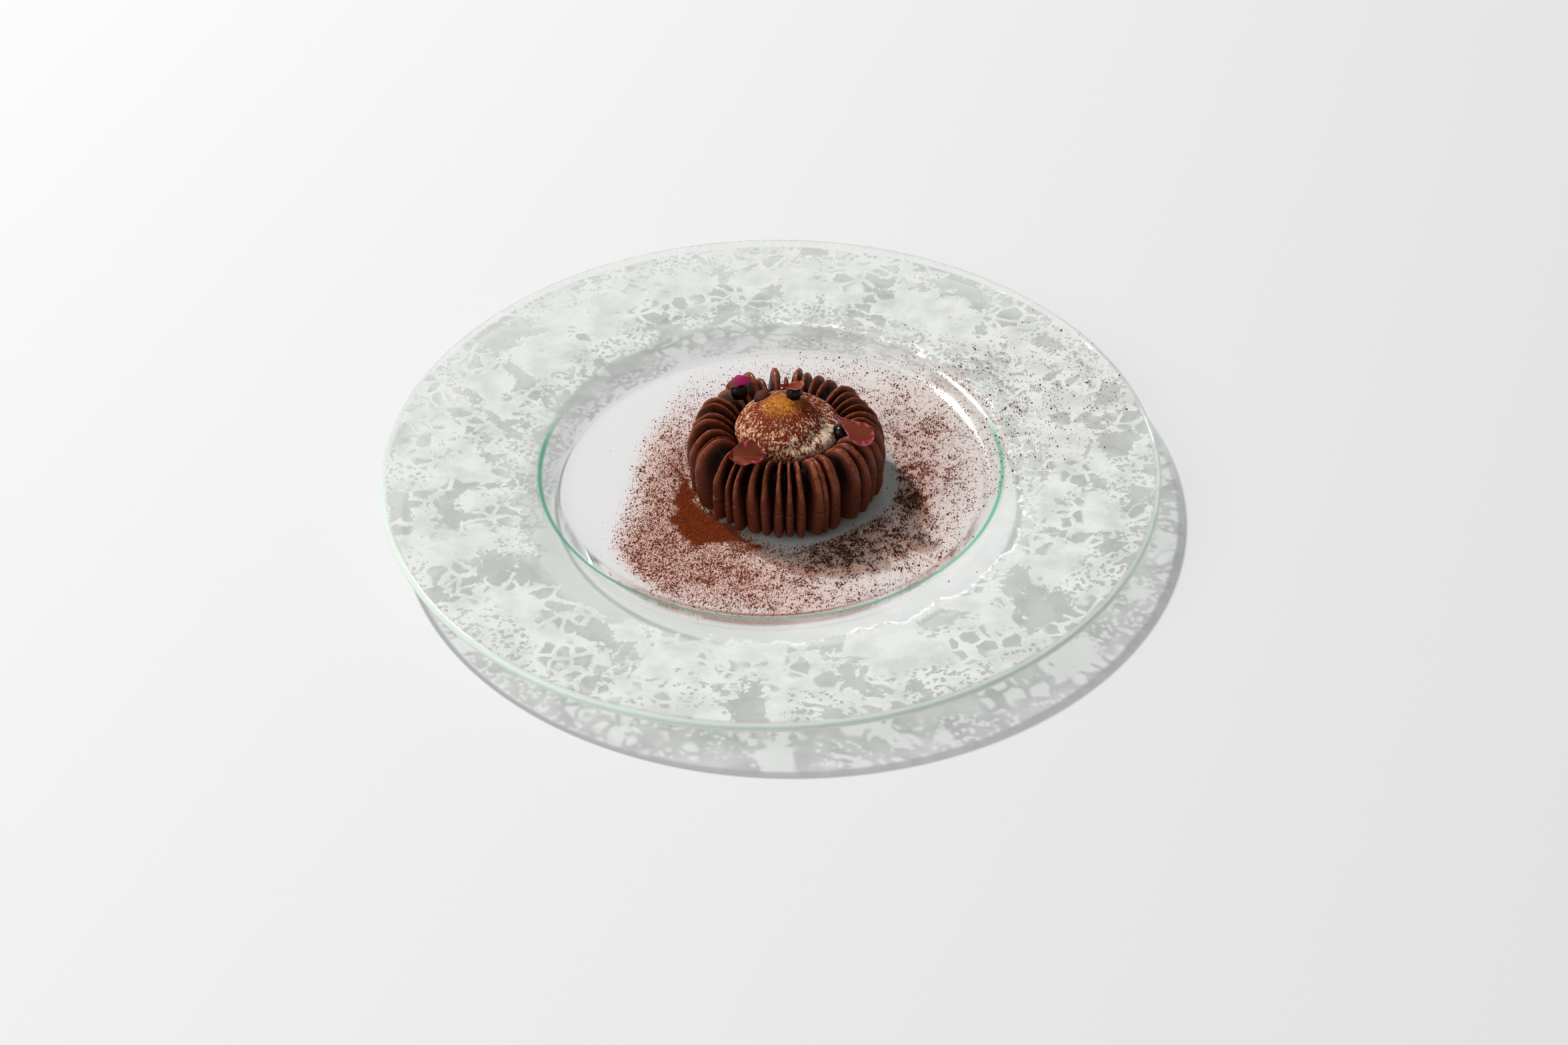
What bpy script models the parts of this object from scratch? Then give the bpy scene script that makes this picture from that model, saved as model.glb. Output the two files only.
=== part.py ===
"""A plated chocolate mousse on a round glass plate.

A low round mousse wears a collar of piped chocolate petals that rise up its side and curl over its top.
A dollop of whipped cream fills the hollow, four dark berries and four rose petals lie on top, and the
whole stands in the well of a clear glass plate with a wide, gently rising rim.
The origin is on the table under the middle of the plate, with +Z up and the camera's side at -Y.
"""

import math
import random

import bmesh
import bpy
from mathutils import Euler, Vector

MM = 0.001  # every size below is in millimetres, and this turns it into metres
GAP = 0.3  # clearance between pieces that touch on the real object

# The glass plate
PLATE_RADIUS = 160.0
GLASS_THICKNESS = 4.0
WELL_FLOOR_RADIUS = 88.0
WELL_EDGE_RADIUS = 95.0
WELL_EDGE_HEIGHT = 11.0
RIM_HEIGHT = 16.0
PLATE_STEPS = 96

# The mousse with its piped petals
MOUSSE_CENTRE = Vector((6.3, -4.0, 0.0))
MOUSSE_BASE = GLASS_THICKNESS + GAP
PETAL_SEED = 11
PETAL_REACH_SPREAD = (-0.9, 0.5)
PETAL_LEAN_SPREAD = (-0.35, 0.35)
BLADE_POWER = 7.0  # a high power gives a petal a blunt edge and steep flanks
CREST_NARROWING = 0.08  # how much narrower a petal is on the crest than at the side
CREASE_WANDER = 0.02  # radians that a crease strays sideways on its way up
# Each piped petal, counterclockwise from the left: the angle of its first crease in degrees, how much
# of its place it fills from crease to crease, and how far it rises over the rest
PETALS = (
    (-187.5, 0.86, 1.0),
    (-173.5, 0.72, 0.1),
    (-162.0, 0.80, -0.4),
    (-156.0, 0.80, 0.3),
    (-145.0, 0.72, 0.0),
    (-134.5, 0.70, -0.3),
    (-126.4, 0.70, -0.3),
    (-118.0, 0.84, 0.4),
    (-106.0, 0.64, 0.0),
    (-99.6, 0.80, 0.0),
    (-92.0, 0.74, 0.2),
    (-85.6, 0.64, -0.1),
    (-78.5, 0.84, 0.4),
    (-69.3, 0.72, 0.1),
    (-62.8, 0.86, 0.8),
    (-51.0, 0.80, 0.5),
    (-40.6, 0.76, 0.0),
    (-32.7, 0.82, 0.5),
    (-22.5, 0.76, 0.6),
    (-13.5, 0.74, 0.0),
    (-3.5, 0.66, -0.2),
    (5.8, 0.70, 0.2),
    (14.2, 0.74, 0.4),
    (23.0, 0.68, -0.4),
    (31.5, 0.66, -0.5),
    (39.0, 0.84, 0.5),
    (52.0, 0.66, -0.2),
    (61.0, 0.68, 0.0),
    (69.5, 0.66, 0.5),
    (77.6, 0.78, 1.3),
    (86.2, 0.60, -2.2),
    (93.2, 0.78, 1.7),
    (103.5, 0.72, -1.4),
    (112.8, 0.76, 2.0),
    (123.0, 0.70, 0.0),
    (134.0, 0.70, -1.2),
    (143.5, 0.70, 0.0),
    (152.3, 0.66, 0.2),
    (160.6, 0.74, 0.0),
)
# Along a petal, from the plate up the side, over the crest and down into the hollow:
# radius, height over the base, depth of the creases, share of the reach, share of the rise
PETAL_PATH = (
    (38.4, 0.0, 4.8, 0.6, 0.0),
    (39.6, 4.5, 6.8, 1.0, 0.0),
    (40.3, 10.0, 7.8, 1.0, 0.0),
    (40.6, 16.0, 8.2, 1.0, 0.1),
    (40.0, 21.5, 8.0, 0.8, 0.3),
    (38.2, 26.2, 7.6, 0.5, 0.7),
    (35.1, 29.9, 7.0, 0.2, 1.0),
    (31.5, 31.8, 6.4, 0.0, 1.0),
    (27.8, 31.5, 5.8, 0.0, 0.8),
    (24.4, 29.5, 5.0, 0.0, 0.4),
    (21.6, 26.2, 3.6, 0.0, 0.1),
    (19.2, 22.7, 1.6, 0.0, 0.0),
    (16.5, 20.0, 0.0, 0.0, 0.0),
)
PETAL_COLUMNS = 7
DEEPEST = max(depth for _, _, depth, _, _ in PETAL_PATH)

# The whipped cream
CREAM_OFFSET = Vector((1.1, -0.8, 0.0))  # its middle, measured from the mousse's
CREAM_APEX = Vector((-2.4, 2.2, 0.0))  # its blunt tip, measured from its own middle
CREAM_STEPS = 40
CREAM_PATH = (  # radius and height over the table, from the tip down
    (0.0, 44.4),
    (2.6, 44.1),
    (6.0, 43.1),
    (9.8, 41.7),
    (13.2, 40.1),
    (16.1, 38.5),
    (18.4, 36.8),
    (20.1, 35.1),
    (21.0, 33.4),
    (21.0, 31.8),
    (20.2, 29.8),
    (18.4, 27.0),
    (15.8, 24.6),
    (0.0, 24.6),
)
CREAM_FOLD_DEPTH = 2.4
CREAM_FOLD_WIDTH = 1.9

# Berries: name, centre over the table, radius
BERRIES = (
    ("berry_back_left", (-12.9, 16.4, 35.2), 3.8),
    ("berry_left", (-2.7, 5.2, 39.2), 3.9),
    ("berry_top", (9.8, 1.4, 45.3), 3.3),
    ("berry_right", (28.6, -10.4, 33.2), 3.6),
)
BERRY_COLUMNS = 14
BERRY_ROWS = 9

PETAL_SHEET = 0.5  # thickness of a rose petal
# Rose petals: name, length, width, stalk share, cup, curl, fold, centre over the table, turn in degrees
ROSE_PETALS = (
    ("rose_petal_back_left", 9.8, 7.6, 0.6, -1.3, -1.7, -0.5, (-13.3, 17.4, 41.1), (-6, -8, 20)),
    ("rose_petal_top", 9.8, 6.0, 0.3, 1.0, 1.2, 0.0, (8.9, -0.6, 48.9), (-8, 0, 2)),
    ("rose_petal_right", 19.4, 9.4, 0.16, 0.9, -1.0, 0.0, (33.2, -15.6, 39.3), (14, 12, -43)),
    ("rose_petal_front", 13.4, 10.8, 0.9, 0.6, -1.0, 0.9, (-9.6, -30.6, 38.4), (16, 3, 6)),
)
ROSE_LENGTH_STEPS = 9
ROSE_WIDTH_STEPS = 6


def clear_scene():
    """Starts from an empty scene."""
    for thing in list(bpy.data.objects):
        bpy.data.objects.remove(thing, do_unlink=True)


def new_collection(name):
    """A collection linked to the scene."""
    made = bpy.data.collections.new(name)
    bpy.context.scene.collection.children.link(made)
    return made


def new_material(name, colour, roughness, transmission=0.0):
    """A Principled material of one colour."""
    made = bpy.data.materials.new(name)
    made.use_nodes = True
    shader = made.node_tree.nodes["Principled BSDF"]
    shader.inputs["Base Color"].default_value = (*colour, 1.0)
    shader.inputs["Roughness"].default_value = roughness
    shader.inputs["Metallic"].default_value = 0.0
    shader.inputs["Transmission Weight"].default_value = transmission
    return made


def new_object(name, mesh, material, collection):
    """An object that shows the mesh in the material."""
    made = bpy.data.objects.new(name, mesh)
    mesh.materials.append(material)
    collection.objects.link(made)
    return made


def turned(name, profile, steps, material, collection):
    """A solid turned round Z from a profile of (radius, height) that runs down its outer side."""
    mesh = bpy.data.meshes.new(name)
    corners = [(radius * MM, 0.0, height * MM) for radius, height in profile]
    mesh.from_pydata(corners, [(n, n + 1) for n in range(len(corners) - 1)], [])
    made = new_object(name, mesh, material, collection)
    screw = made.modifiers.new("Turn", "SCREW")
    screw.steps = steps
    screw.render_steps = steps
    screw.use_merge_vertices = True
    screw.merge_threshold = 0.00001
    screw.use_smooth_shade = True
    return made


def as_mesh(thing):
    """Puts the shape that the modifiers give into the object's own mesh."""
    seen = thing.evaluated_get(bpy.context.evaluated_depsgraph_get())
    mesh = bpy.data.meshes.new_from_object(seen)
    thing.modifiers.clear()
    thing.data = mesh


def blend(low, high, share):
    """The value that lies the share of the way from low to high."""
    return low + (high - low) * share


def plate_profile():
    """The plate's section: along its top from the middle to the rim, and back along its underside."""
    t = GLASS_THICKNESS
    slope_start = WELL_EDGE_RADIUS + 7.0
    return (
        (0.0, t),
        (WELL_FLOOR_RADIUS - 1.5, t),
        (WELL_FLOOR_RADIUS + 2.0, t + 0.9),
        (WELL_FLOOR_RADIUS + 4.6, t + 3.0),
        (WELL_EDGE_RADIUS - 1.2, WELL_EDGE_HEIGHT - 1.6),
        (WELL_EDGE_RADIUS + 1.4, WELL_EDGE_HEIGHT),
        (slope_start, WELL_EDGE_HEIGHT + 0.8),
        (PLATE_RADIUS - 1.6, RIM_HEIGHT),
        (PLATE_RADIUS, RIM_HEIGHT - 1.4),
        (PLATE_RADIUS, RIM_HEIGHT - t + 1.2),
        (PLATE_RADIUS - 1.6, RIM_HEIGHT - t),
        (slope_start, WELL_EDGE_HEIGHT + 0.8 - t),
        (WELL_EDGE_RADIUS + 2.6, WELL_EDGE_HEIGHT - t),
        (WELL_EDGE_RADIUS + 0.6, WELL_EDGE_HEIGHT - t - 1.8),
        (WELL_EDGE_RADIUS - 1.4, 1.4),
        (WELL_FLOOR_RADIUS + 2.0, 0.0),
        (0.0, 0.0),
    )


def petal_layout():
    """One entry for each piped petal: its first crease, how full it is, its reach, rise and lean."""
    draw = random.Random(PETAL_SEED)
    layout = []
    for angle, share, rise in PETALS:
        layout.append(
            {
                "angle": math.radians(angle),
                "share": share,
                "rise": rise,
                "reach": draw.uniform(*PETAL_REACH_SPREAD),
                "lean": draw.uniform(*PETAL_LEAN_SPREAD),
                "wander": draw.uniform(-CREASE_WANDER, CREASE_WANDER),
            }
        )
    return layout


def path_normal(row):
    """The direction that leads out of the mousse at a row of PETAL_PATH, as (radial, up)."""
    last = len(PETAL_PATH) - 1
    before = PETAL_PATH[max(row - 1, 0)]
    after = PETAL_PATH[min(row + 1, last)]
    along = Vector((after[0] - before[0], after[1] - before[1])).normalized()
    if row == 0:
        return Vector((1.0, 0.0))
    return Vector((along.y, -along.x))


def blade(across, share):
    """How far a petal stands out of its crease, from 0 to 1, at a place from -1 to 1 across it."""
    lowest = 1.0 / (1.0 + share**-BLADE_POWER)
    stand = 1.0 / (1.0 + (abs(across) / share) ** BLADE_POWER)
    return (stand - lowest) / (1.0 - lowest)


def place_across(place, share):
    """The place from -1 to 1 of one of a petal's columns: its crease, both flanks and its blunt edge."""
    foot = min(share + 0.13, 0.93)
    edge = share - 0.16
    return (-1.0, -foot, -edge, -0.35 * share, 0.3 * share, edge, foot)[place]


def crease_angle(layout, number, row):
    """The angle of a crease at a row. It strays a little to one side on its way up."""
    full_turns, petal = divmod(number, len(PETALS))
    climb = math.sin(math.pi * row / (len(PETAL_PATH) - 1))
    return layout[petal]["angle"] + layout[petal]["wander"] * climb + 2.0 * math.pi * full_turns


def petal_point(layout, column, row):
    """The place of one grid point of the petals, over the mousse's own base centre."""
    number, place = divmod(column, PETAL_COLUMNS)
    petal = layout[number]
    radius, height, depth, reach_share, rise_share = PETAL_PATH[row]
    share = petal["share"] * (1.0 - CREST_NARROWING * rise_share)
    across = place_across(place, share)
    ridge = blade(across, share)
    stand = petal["reach"] * reach_share + petal["rise"] * rise_share
    out = path_normal(row) * ((depth + stand) * ridge - depth)
    first = crease_angle(layout, number, row)
    second = crease_angle(layout, number + 1, row)
    angle = blend(first, second, (across + 1.0) / 2.0)
    angle += petal["lean"] * ridge * (second - first) * depth / DEEPEST
    reach = radius + out.x
    return Vector((reach * math.cos(angle), reach * math.sin(angle), height + out.y))


def make_mousse(material, collection):
    """The mousse and its petals as one solid: a turned body whose side is then moved out into petals."""
    top = (0.0, PETAL_PATH[-1][1])
    rows = [(radius, height) for radius, height, *_ in reversed(PETAL_PATH)]
    columns = len(PETALS) * PETAL_COLUMNS
    made = turned("mousse", [top, *rows, (0.0, 0.0)], columns, material, collection)
    as_mesh(made)
    layout = petal_layout()
    for vertex in made.data.vertices:
        radius = math.hypot(vertex.co.x, vertex.co.y) / MM
        if radius > 1.0:
            turn = math.atan2(vertex.co.y, vertex.co.x) / (2.0 * math.pi)
            column = round(turn * columns) % columns
            height = vertex.co.z / MM
            row = min(
                range(len(PETAL_PATH)),
                key=lambda n: math.hypot(PETAL_PATH[n][0] - radius, PETAL_PATH[n][1] - height),
            )
            vertex.co = petal_point(layout, column, row) * MM
        vertex.co += (MOUSSE_CENTRE + Vector((0.0, 0.0, MOUSSE_BASE))) * MM
    made.data.shade_smooth()
    return made


def petal_top(radius):
    """The height over the table of the petals' ridges where they run down to the cream."""
    inner = PETAL_PATH[-1]
    for outer in reversed(PETAL_PATH[:-1]):
        if radius <= outer[0]:
            share = max(0.0, (radius - inner[0]) / (outer[0] - inner[0]))
            return MOUSSE_BASE + blend(inner[1], outer[1], share)
        inner = outer
    return MOUSSE_BASE + inner[1]


def cream_outline(angle):
    """How far the cream spreads at an angle, as a factor: a rounded, slightly lopsided dollop."""
    return 1.0 + 0.035 * math.cos(2.0 * angle - 0.9) + 0.022 * math.cos(3.0 * angle + 0.8)


def cream_fold(angle, height):
    """How deep the fold cuts into the cream where its last swirl overlaps the first, on the right."""
    fade = max(0.0, math.cos((angle + 0.35) * 0.95)) ** 0.8 if abs(angle + 0.35) < 1.6 else 0.0
    line = 38.6 + 2.4 * angle
    return CREAM_FOLD_DEPTH * fade * math.exp(-(((height - line) / CREAM_FOLD_WIDTH) ** 2))


def make_cream(material, collection):
    """The dollop: turned, then pushed into its outline, fold and off-centre tip, resting on the petals."""
    made = turned("cream", CREAM_PATH, CREAM_STEPS, material, collection)
    as_mesh(made)
    low, high = CREAM_PATH[-1][1], CREAM_PATH[0][1]
    middle = MOUSSE_CENTRE + CREAM_OFFSET
    for vertex in made.data.vertices:
        x, y, height = vertex.co / MM
        radius = math.hypot(x, y)
        angle = math.atan2(y, x)
        under = radius < 0.1 and height < high
        if not under:
            reach = radius * cream_outline(angle)
            reach -= min(cream_fold(angle, height), 0.5 * reach)
            lift = ((height - low) / (high - low)) ** 2
            x, y = reach * math.cos(angle), reach * math.sin(angle)
            x, y = x + CREAM_APEX.x * lift, y + CREAM_APEX.y * lift
        x, y = x + middle.x, y + middle.y
        from_mousse = math.hypot(x - MOUSSE_CENTRE.x, y - MOUSSE_CENTRE.y)
        height = max(height, petal_top(from_mousse) + GAP)
        vertex.co = Vector((x, y, height)) * MM
    made.data.shade_smooth()
    return made


def make_ball(name, centre, radius, material, collection):
    """A round berry as a closed ball."""
    mesh = bpy.data.meshes.new(name)
    shape = bmesh.new()
    bmesh.ops.create_uvsphere(shape, u_segments=BERRY_COLUMNS, v_segments=BERRY_ROWS, radius=radius * MM)
    shape.to_mesh(mesh)
    shape.free()
    mesh.shade_smooth()
    made = new_object(name, mesh, material, collection)
    made.location = Vector(centre) * MM
    return made


def cut_socket(target, name, centre, radius, material, cutters):
    """Cuts the hollow that a berry sits in, wider than the berry by the gap."""
    cutter = make_ball(f"{name}_cutter", centre, radius + GAP, material, cutters)
    cutter.hide_render = True
    cutter.display_type = "WIRE"
    cut = target.modifiers.new(f"Socket {name}", "BOOLEAN")
    cut.operation = "DIFFERENCE"
    cut.object = cutter


def half_width(along, width, stalk):
    """Half the width of a rose petal at a share of its length: a narrow stalk end and a round far end."""
    shifted = along ** blend(1.9, 1.0, stalk)
    body = math.sqrt(max(0.0, 1.0 - (2.0 * shifted - 1.0) ** 2))
    taper = blend(stalk, 1.0, min(1.0, along * 1.6))
    return 0.3 + 0.5 * width * body * taper


def make_rose_petal(name, length, width, stalk, cup, curl, fold, centre, turn, material, collection):
    """A rose petal: a thin wavy sheet, cupped across, curled along and folded a little down its middle."""
    mesh = bpy.data.meshes.new(name)
    shape = bmesh.new()
    bmesh.ops.create_grid(shape, x_segments=ROSE_LENGTH_STEPS, y_segments=ROSE_WIDTH_STEPS, size=1.0)
    for vertex in shape.verts:
        along = (vertex.co.x + 1.0) / 2.0
        side = vertex.co.y
        wave = 0.25 * math.sin(7.0 * along + 3.0 * side)
        height = cup * side**2 + curl * (2.0 * along - 1.0) ** 2 + fold * abs(side) + wave
        across = side * half_width(along, width, stalk)
        vertex.co = Vector(((along - 0.5) * length, across, height)) * MM
    bmesh.ops.triangulate(shape, faces=shape.faces)
    shape.to_mesh(mesh)
    shape.free()
    mesh.shade_smooth()
    made = new_object(name, mesh, material, collection)
    made.location = Vector(centre) * MM
    made.rotation_euler = Euler([math.radians(angle) for angle in turn])
    sheet = made.modifiers.new("Sheet", "SOLIDIFY")
    sheet.thickness = PETAL_SHEET * MM
    sheet.offset = 0.0
    return made


def main():
    clear_scene()
    parts = new_collection("chocolate_mousse")
    cutters = new_collection("cutters")
    glass = new_material("clear glass", (0.86, 0.93, 0.89), 0.03, transmission=1.0)
    chocolate = new_material("chocolate mousse", (0.085, 0.026, 0.012), 0.5)
    whipped = new_material("whipped cream", (0.80, 0.68, 0.55), 0.6)
    berry = new_material("dark berry", (0.03, 0.008, 0.008), 0.25)
    rose = new_material("rose petal", (0.38, 0.03, 0.09), 0.55)

    turned("plate", plate_profile(), PLATE_STEPS, glass, parts)
    mousse = make_mousse(chocolate, parts)
    cream = make_cream(whipped, parts)
    for name, centre, radius in BERRIES:
        make_ball(name, centre, radius, berry, parts)
        cut_socket(mousse, f"{name}_mousse", centre, radius, berry, cutters)
        cut_socket(cream, f"{name}_cream", centre, radius, berry, cutters)
    for name, *sizes in ROSE_PETALS:
        make_rose_petal(name, *sizes, rose, parts)


main()
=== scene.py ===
# %% [markdown]
# # A chocolate mousse on a glass plate
# This lesson dresses a measured model of a plated dessert: a round mousse with a collar of piped petals,
# a dollop of dusted cream, dark berries and rose petals, on a clear plate with a frosted rim.
# Every size is written in millimetres, as a cook or a glassmaker would say it, and turned to metres once.

import math
import random

import bpy
import numpy as np
from mathutils import Euler, Matrix, Vector, noise


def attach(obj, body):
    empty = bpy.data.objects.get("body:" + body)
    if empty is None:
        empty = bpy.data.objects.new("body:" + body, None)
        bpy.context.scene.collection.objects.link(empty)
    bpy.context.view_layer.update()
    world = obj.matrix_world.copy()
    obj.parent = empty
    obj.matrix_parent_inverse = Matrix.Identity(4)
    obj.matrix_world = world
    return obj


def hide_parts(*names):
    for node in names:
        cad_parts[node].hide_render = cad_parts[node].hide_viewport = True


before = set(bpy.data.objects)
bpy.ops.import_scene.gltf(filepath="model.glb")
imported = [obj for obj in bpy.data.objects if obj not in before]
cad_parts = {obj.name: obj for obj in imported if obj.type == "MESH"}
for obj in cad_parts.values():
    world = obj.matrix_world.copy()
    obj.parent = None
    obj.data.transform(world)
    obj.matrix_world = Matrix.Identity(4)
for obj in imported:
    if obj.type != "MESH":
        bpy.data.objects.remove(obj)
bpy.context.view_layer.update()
MM = 0.001

# %% [markdown]
# ## The camera
# A food photographer stood close to the table and looked down at the plate at about 39 degrees with a
# short telephoto lens. The direction was found from the outlines of the rim and the well, so the camera
# is built from those angles: looking down, a slight tilt of the head, and the pixel that shows the origin.

# %% Place the camera
IMAGE_WIDTH = 2352.0
IMAGE_HEIGHT = 1568.0
LENS = 55.0
SENSOR = 36.0
CAMERA_ELEVATION = math.radians(39.07)
CAMERA_ROLL = math.radians(-0.96)
CAMERA_DISTANCE = 0.9954
ORIGIN_PIXEL = (1156.9, 723.3)


def camera_matrix():
    """The camera's place and turn, from the angles above and the pixel that shows the origin."""
    back = Vector((0.0, -math.cos(CAMERA_ELEVATION), math.sin(CAMERA_ELEVATION)))
    right = Vector((1.0, 0.0, 0.0))
    up = back.cross(right)
    turned_right = right * math.cos(CAMERA_ROLL) + up * math.sin(CAMERA_ROLL)
    turned_up = up * math.cos(CAMERA_ROLL) - right * math.sin(CAMERA_ROLL)
    focal = LENS / SENSOR * IMAGE_WIDTH
    across = (ORIGIN_PIXEL[0] - IMAGE_WIDTH / 2.0) / focal
    down = (ORIGIN_PIXEL[1] - IMAGE_HEIGHT / 2.0) / focal
    seen = Vector((across, -down, -1.0)).normalized()
    swing = Vector((0.0, 0.0, -1.0)).rotation_difference(seen).to_matrix()
    matrix = (swing @ Matrix((turned_right, turned_up, back))).transposed().to_4x4()
    matrix.translation = back * CAMERA_DISTANCE
    return matrix


camera = bpy.data.objects.new("camera", bpy.data.cameras.new("camera"))
bpy.context.scene.collection.objects.link(camera)
camera.data.lens = LENS
camera.data.sensor_width = SENSOR
camera.data.clip_start = 0.01
camera.data.clip_end = 50.0
camera.matrix_world = camera_matrix()
bpy.context.scene.camera = camera
print("camera stands at", [round(value, 3) for value in camera.location])

# %% [markdown]
# ## Light
# The photograph has one small, bright lamp behind the plate on the left, which draws the crisp shadow of
# the rim on the table, and white light from all round that fills the shadows to about half.
# A disk lamp at five metres gives the crisp shadow, the sky gives the fill, and a wide, weak panel on the
# left lifts that side a little, as the white wall there did.

# %% Lamp and sky
TOWARD_LAMP = Vector((-0.65, 0.67, 1.0)).normalized()
LAMP_DISTANCE = 5.0
LAMP_WIDTH = 0.25
LAMP_POWER = 212.0
PANEL_PLACE = (-1.7, -0.7, 1.3)
PANEL_WIDTH = 1.3
PANEL_POWER = 14.0
SKY_STRENGTH = 0.36


def new_lamp(name, shape, width, power, place):
    """An area lamp that looks at the plate."""
    made = bpy.data.objects.new(name, bpy.data.lights.new(name, "AREA"))
    bpy.context.scene.collection.objects.link(made)
    made.data.shape = shape
    made.data.size = width
    made.data.energy = power
    made.location = place
    made.rotation_euler = Vector(place).to_track_quat("Z", "Y").to_euler()
    return made


new_lamp("key_lamp", "DISK", LAMP_WIDTH, LAMP_POWER, TOWARD_LAMP * LAMP_DISTANCE)
new_lamp("side_panel", "SQUARE", PANEL_WIDTH, PANEL_POWER, PANEL_PLACE)

sky = bpy.data.worlds.new("studio")
bpy.context.scene.world = sky
sky.use_nodes = True
sky.node_tree.nodes["Background"].inputs["Color"].default_value = (1.0, 1.0, 1.0, 1.0)
sky.node_tree.nodes["Background"].inputs["Strength"].default_value = SKY_STRENGTH
bpy.context.scene.view_settings.view_transform = "Standard"
print("lamp is", round(math.degrees(math.asin(TOWARD_LAMP.z))), "degrees above the table")

# %% [markdown]
# ## Small helpers
# Colours are written as sRGB hex, as read in any paint program, and one function turns them linear.
# One function adds a shader node with its settings and links, and another hands a finished piece over.

# %% Helpers for colours, nodes and pieces
# Settings that many nodes share
SOFT_STEP = {"interpolation_type": "SMOOTHSTEP"}
COLOURS = {"data_type": "RGBA"}
PRODUCT = {"operation": "MULTIPLY"}
SUM = {"operation": "ADD"}
DIFFERENCE = {"operation": "SUBTRACT"}
LARGER = {"operation": "MAXIMUM"}
SCALE_SHIFT = {"operation": "MULTIPLY_ADD"}


def linear(colour):
    """An sRGB hex colour as the linear values that shader nodes take."""
    parts = [int(colour[n : n + 2], 16) / 255.0 for n in (1, 3, 5)]
    return (*[p / 12.92 if p <= 0.04045 else ((p + 0.055) / 1.055) ** 2.4 for p in parts], 1.0)


def add(tree, kind, settings=None, links=None):
    """Adds one node. Settings name its properties or sockets, and links bring other nodes in.

    A link to a whole node takes the first output that this node has switched on.
    """
    node = tree.nodes.new("ShaderNode" + kind)
    for name, value in (settings or {}).items():
        if isinstance(name, int) or name in node.inputs:
            node.inputs[name].default_value = value
        else:
            setattr(node, name, value)
    for name, source in (links or {}).items():
        if isinstance(source, bpy.types.Node):
            source = next(output for output in source.outputs if output.enabled)
        tree.links.new(source, node.inputs[name])
    return node


def new_material(name):
    """An empty material: its node tree, its output and its coordinates in millimetres."""
    material = bpy.data.materials.new(name)
    material.use_nodes = True
    tree = material.node_tree
    tree.nodes.clear()
    output = add(tree, "OutputMaterial")
    place = add(tree, "TexCoord")
    in_mm = add(tree, "Mapping", {"Scale": (1000.0, 1000.0, 1000.0)}, {"Vector": place.outputs["Object"]})
    return material, tree, output, in_mm.outputs["Vector"]


def start_fresh():
    """Deselects everything, so that the next operator acts on the new piece alone."""
    if bpy.context.object is not None and bpy.context.object.mode != "OBJECT":
        bpy.ops.object.mode_set(mode="OBJECT")
    bpy.ops.object.select_all(action="DESELECT")


def hand_over(piece, material, slot, *nodes):
    """Gives a finished piece its material and its body, and hides the measured nodes it stands for; the slot
    is not used.
    """
    piece.data.materials.clear()
    piece.data.materials.append(material)
    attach(piece, "root")
    if nodes:
        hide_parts(*nodes)
    triangles = sum(len(face.vertices) - 2 for face in piece.data.polygons)
    print(piece.name, "has", triangles, "triangles")


def blend(low, high, share):
    """The value that lies the share of the way from low to high."""
    return low + (high - low) * share


def ease(value):
    """A smooth step: 0 up to 0, 1 from 1, with a soft start and end."""
    held = np.clip(value, 0.0, 1.0)
    return held * held * (3.0 - 2.0 * held)


def cloud(x, y, scale, seed):
    """Soft random hills from 0 to 1 over a plane, with hills about the scale apart."""
    table = np.random.default_rng(seed).random((256, 256))
    u, v = np.asarray(x) / scale + 500.0, np.asarray(y) / scale + 500.0
    i, j = np.floor(u).astype(int), np.floor(v).astype(int)
    a, b = ease(u - i), ease(v - j)
    i, j = i % 256, j % 256
    k, m = (i + 1) % 256, (j + 1) % 256
    low = table[i, j] * (1 - a) + table[k, j] * a
    high = table[i, m] * (1 - a) + table[k, m] * a
    return low * (1 - b) + high * b


def set_attribute(piece, name, values):
    """Writes one number for each vertex, which a material reads by name."""
    made = piece.data.attributes.new(name, "FLOAT", "POINT")
    made.data.foreach_set("value", np.asarray(values, np.float32))


def vertex_places(piece):
    """The places of all vertices in millimetres, one row each."""
    flat = np.empty(len(piece.data.vertices) * 3)
    piece.data.vertices.foreach_get("co", flat)
    return flat.reshape(-1, 3) / MM


# %% [markdown]
# ## The table
# A white, matt studio table that runs out of the picture on all sides, a fifth of a millimetre under the
# plate so that the two surfaces never share a plane. Painted board is a little rough, so it gets no gloss.

# %% Make the table
start_fresh()
bpy.ops.mesh.primitive_plane_add(size=12.0, location=(0.0, 0.0, -0.2 * MM))
table = bpy.context.object
table.name = "table"
board, tree, output, in_mm = new_material("white painted board")
paint = add(
    tree,
    "BsdfPrincipled",
    {"Base Color": linear("#e0e0e0"), "Roughness": 0.9, "Specular IOR Level": 0.0},
)
tree.links.new(paint.outputs["BSDF"], output.inputs["Surface"])
table.data.materials.append(board)
print("table is", table.dimensions.x, "m wide")

# %% [markdown]
# ## The glass plate
# A pressed glass plate is a turned form, so one section is drawn and spun round the middle.
# The section is drawn as by hand: a single vertex is extruded from point to point, along the top from the
# middle to the rim and back along the underside. Its corners are softened first, because molten glass
# never leaves a sharp bend, and the soft bends are what catches the lamp.

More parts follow.
